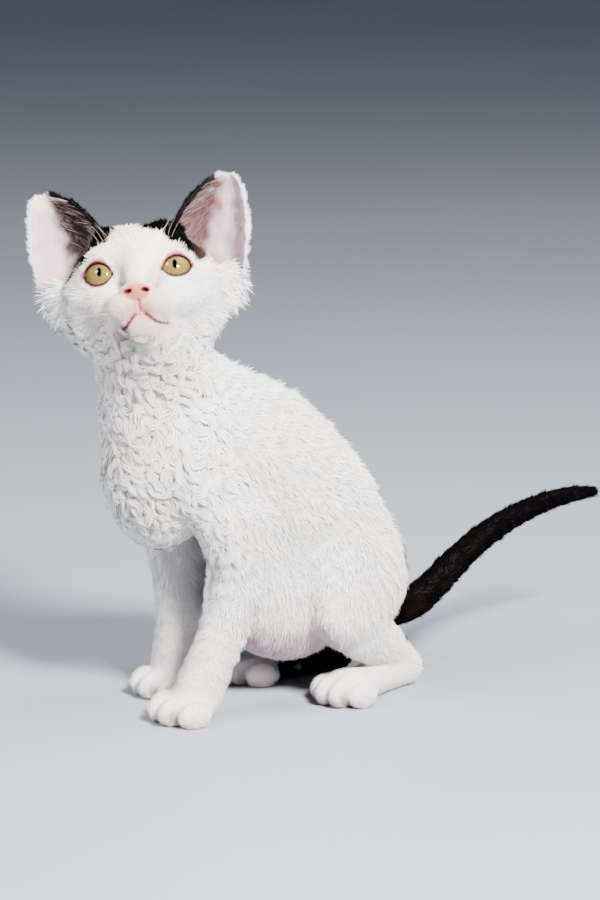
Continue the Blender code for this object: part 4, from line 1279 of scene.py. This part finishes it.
def curled_coat(name, chosen, spacing, seed):
    centres, normals, patch = roots_on(chosen, spacing, seed)
    draw = np.random.RandomState(seed + 500)
    curl = curliness(centres)
    keep = curl > draw.uniform(0.05, 0.5, len(centres))
    centres, normals, patch, curl = centres[keep], normals[keep], patch[keep], curl[keep]
    count = len(centres)
    lie, _ = lie_at(centres, normals)
    swirl = 0.8 * noise(centres, 16.0, 31, 1) + draw.normal(0.0, 0.6, count)
    turn = np.where(noise(centres, 11.0, 33, 1) + draw.normal(0.0, 0.35, count) > 0.0, 1.0, -1.0)
    bend = turn * draw.uniform(1.0, 3.4, count) * (0.3 + 0.7 * curl)
    length = draw.uniform(7.0, 13.0, count) * (0.7 + 0.3 * curl)
    broad = draw.uniform(2.4, 4.6, count)
    arch = draw.uniform(1.0, 2.9, count) * (0.4 + 0.6 * curl)
    tone = draw.uniform(0.94, 1.03, count)
    own, _ = markings_and_painted_shade(centres, normals)
    paths, tones = [], []
    for strand in range(LOCK_STRANDS):
        over = 2.0 * strand / (LOCK_STRANDS - 1.0) - 1.0
        shift = over * 0.5 * broad + draw.normal(0.0, 0.16, count)
        own_length = length * (1.0 - 0.16 * abs(over)) * draw.uniform(0.8, 1.1, count)
        place = centres.copy()
        path = np.empty((count, LOCK_STEPS + 1, 3))
        for k in range(LOCK_STEPS + 1):
            t = k / LOCK_STEPS
            ahead = turned_about(lie, normals, swirl + bend * (t**1.3 - 0.35))
            if k:
                place = place + ahead * (own_length / LOCK_STEPS)[:, None]
            narrow = shift * (0.75 + 0.9 * t - 1.35 * t * t)
            height = 0.5 + arch * math.sin(math.pi * (0.12 + 0.72 * t))
            height = height * (1.0 - 0.35 * over * over) if k else np.full(count, -0.2)
            spot = place + np.cross(normals, ahead) * narrow[:, None]
            path[:, k] = spot + normals * (height - clay.at(spot))[:, None]
        paths.append(path)
        tones.append(tone * draw.uniform(0.92, 1.04, count))
    paths, tones = np.concatenate(paths), np.concatenate(tones)
    colour = (np.tile(own, (LOCK_STRANDS, 1)) * tones[:, None])[:, None]
    # Painted shade and light: each strand darker at its root and lighter at its tip.
    colour = colour * painted_blade_shade(0.62, 1.06, LOCK_STEPS)
    widths = np.tile(LOCK_WIDTH * np.array(LOCK_TAPER), (len(paths), 1))
    normals, patch = np.tile(normals, (LOCK_STRANDS, 1)), np.tile(patch, (LOCK_STRANDS, 1))
    add_coat(name, paths, normals, widths, colour, patch)


face_curly = curliness(face_middle) > 0.02
face_curly = face_curly & above_floor & ~face_ear & ~face_tail
curled_coat("curls_left", face_curly & face_left, 3.85, 41)
curled_coat("curls_right", face_curly & ~face_left, 3.95, 42)

# Ear hair and whiskers
# Fine grey hairs cross the inner half of each ear. Pale whiskers stand on the lips, and a
# few more over the eyes, as thin as thread.

EAR_HAIRS = 300
BROW_WHISKERS = [(12, -15.5, 17.5), (13.6, -14, 18.6), (15.2, -13, 18.4), (11, -14, 20)]
LIP_WHISKERS = [(8.5, -30.5, -14), (9.5, -29, -17), (11, -27, -12.5), (12, -26.5, -16)]


def hairs(name, roots, ways, bend, lengths, width, colour, steps=5):
    """Single thin hairs from roots along ways, bent by bend and narrowing to their tips."""
    paths = np.empty((len(roots), steps + 1, 3))
    for k in range(steps + 1):
        t = k / steps
        paths[:, k] = roots + (ways * t + bend * t * t) * lengths[:, None]
    widths = np.tile(width * np.linspace(1.0, 0.3, steps + 1), (len(roots), 1))
    colours = np.tile(linear(colour), (len(roots), 3 * steps + 1, 1))
    normals = tangent(np.tile((0.3, -0.8, 0.5), (len(roots), 1)), ways)
    patch = np.empty((len(roots), 2))
    for k, root in enumerate(roots):
        face = np.argmin(((face_middle - root) ** 2).sum(axis=1))
        patch[k] = skin_uv[face].mean(axis=0)
    add_coat(name, paths, normals, widths, colours, patch)


for side, word in ((1.0, "left"), (-1.0, "right")):
    draw = np.random.RandomState(61 if side > 0 else 62)
    sheet = ear_points[side]
    rows, columns = sheet.shape[:2]
    row = draw.uniform(0.22, 0.82, EAR_HAIRS) * (rows - 1)
    column = (draw.beta(1.3, 1.8, EAR_HAIRS) * 0.52 + 0.03) * (columns - 1)
    a, b = row.astype(int), column.astype(int)
    roots = sheet[a, b] + (row - a)[:, None] * (sheet[a + 1, b] - sheet[a, b])
    roots = roots + (column - b)[:, None] * (sheet[a, b + 1] - sheet[a, b])
    middle = 0.5 * (sheet[a, 0] + sheet[a, -1]) + (0.0, -2.0, 0.0)
    inward = unit(middle - roots)
    upward = unit(sheet[a + 1, b] - sheet[a, b])
    ways = upward * draw.uniform(0.5, 1.1, EAR_HAIRS)[:, None] + 0.22 * inward
    ways = ways + side * draw.uniform(-0.2, 0.9, EAR_HAIRS)[:, None] * (1.0, 0.0, 0.0)
    bend = draw.uniform(-0.5, 0.5, EAR_HAIRS)[:, None] * (side, 0.0, 0.0) - 0.05 * inward
    roots = from_head(roots + 0.7 * inward)
    hairs(
        "ear_hair_" + word, roots, ways @ head_axes.T, bend @ head_axes.T,
        draw.uniform(3.0, 6.5, EAR_HAIRS), 0.12, "8C7D79",
    )
    starts, ways, lengths = [], [], []
    for k, place in enumerate(BROW_WHISKERS):
        starts.append(place)
        ways.append((0.15 + 0.12 * k, -0.35, 0.95))
        lengths.append(9.5 - 0.8 * k)
    for k, place in enumerate(LIP_WHISKERS):
        starts.append(place)
        ways.append((0.95, -0.25, -0.25 + 0.2 * (k % 2)))
        lengths.append(10.0 + k)
    starts = from_head(np.array(starts) * (side, 1.0, 1.0))
    ways = (np.array(ways) * (side, 1.0, 1.0)) @ head_axes.T
    bend = np.tile(head_axes @ (side * 0.25, 0.15, 0.0), (len(starts), 1))
    hairs("whiskers_" + word, starts, ways, bend, np.array(lengths), 0.09, "CFCBC8")

# The studio
# A plain pale floor, and soft light from a strong box high on the kitten's left, a weak one in
# front of it, a broad one behind and a cool sky. The camera looks slightly down from its left.

CAMERA_TARGET = (5.5, -34.2, 109.0)
CAMERA_AZIMUTH = 58.0
CAMERA_ELEVATION = 11.0
CAMERA_DISTANCE = 1500.0
CAMERA_LENS = 136.4

shape = bmesh.new()
bmesh.ops.create_grid(shape, x_segments=1, y_segments=1, size=20.0)
floor_mesh = bpy.data.meshes.new("floor")
shape.to_mesh(floor_mesh)
shape.free()
floor = add_object("floor", floor_mesh)
# Painted board: matt, with a faint cloudiness.
floor_finish, surface = new_material("studio_board_matt_paint", {"Roughness": 0.6})
where = node(floor_finish, "ShaderNodeTexCoord")
position = ("Vector", where.outputs["Object"])
cloud = node(floor_finish, "ShaderNodeTexNoise", [position, ("Scale", 3.0)])
tone = node(floor_finish, "ShaderNodeValToRGB", [("Fac", cloud.outputs[0])])
tone.color_ramp.elements[0].color = (*linear("8E9299"), 1.0)
tone.color_ramp.elements[1].color = (*linear("989CA3"), 1.0)
floor_finish.node_tree.links.new(tone.outputs["Color"], surface.inputs["Base Color"])
floor_mesh.materials.append(floor_finish)


def direction(azimuth, elevation):
    """The way out from the kitten, with azimuth 0 in front of it and 90 to its left."""
    turn, lift = math.radians(azimuth), math.radians(elevation)
    flat = math.cos(lift)
    return np.array((flat * math.sin(turn), -flat * math.cos(turn), math.sin(lift)))


def aim(made, place, way):
    """Puts a camera or light at a place, where it faces along the way given."""
    made.location = place
    made.rotation_euler = Vector(way).to_track_quat("-Z", "Y").to_euler()


camera_data = bpy.data.cameras.new("camera")
camera_data.lens = CAMERA_LENS
camera_data.sensor_width = 36.0
camera_data.clip_start = 0.01
camera = add_object("camera", camera_data)
back = direction(CAMERA_AZIMUTH, CAMERA_ELEVATION)
aim(camera, MM * (np.array(CAMERA_TARGET) + CAMERA_DISTANCE * back), -back)
bpy.context.scene.camera = camera

# Each softbox: azimuth, elevation, distance in metres, size, power and colour.
LIGHTS = {
    "front_softbox": (-2.0, 44.0, 1.5, 0.3, 23.0, (0.97, 0.99, 1.0)),
    "side_softbox": (83.0, 39.0, 1.5, 0.3, 128.0, (1.0, 0.985, 0.965)),
    "back_softbox": (150.0, 64.0, 1.6, 0.9, 26.0, (0.97, 0.985, 1.0)),
}
for name, (azimuth, elevation, distance, size, power, colour) in LIGHTS.items():
    light = bpy.data.lights.new(name, "AREA")
    light.energy = power
    light.size = size
    light.color = colour
    place = distance * direction(azimuth, elevation) + (0.0, 0.0, 0.1)
    aim(add_object(name, light), place, np.array((0.0, -0.03, 0.1)) - place)
world = bpy.data.worlds.new("studio")
world.use_nodes = True
sky = world.node_tree.nodes["Background"].inputs
sky["Color"].default_value = (0.62, 0.77, 1.0, 1.0)
sky["Strength"].default_value = 0.2
bpy.context.scene.world = world
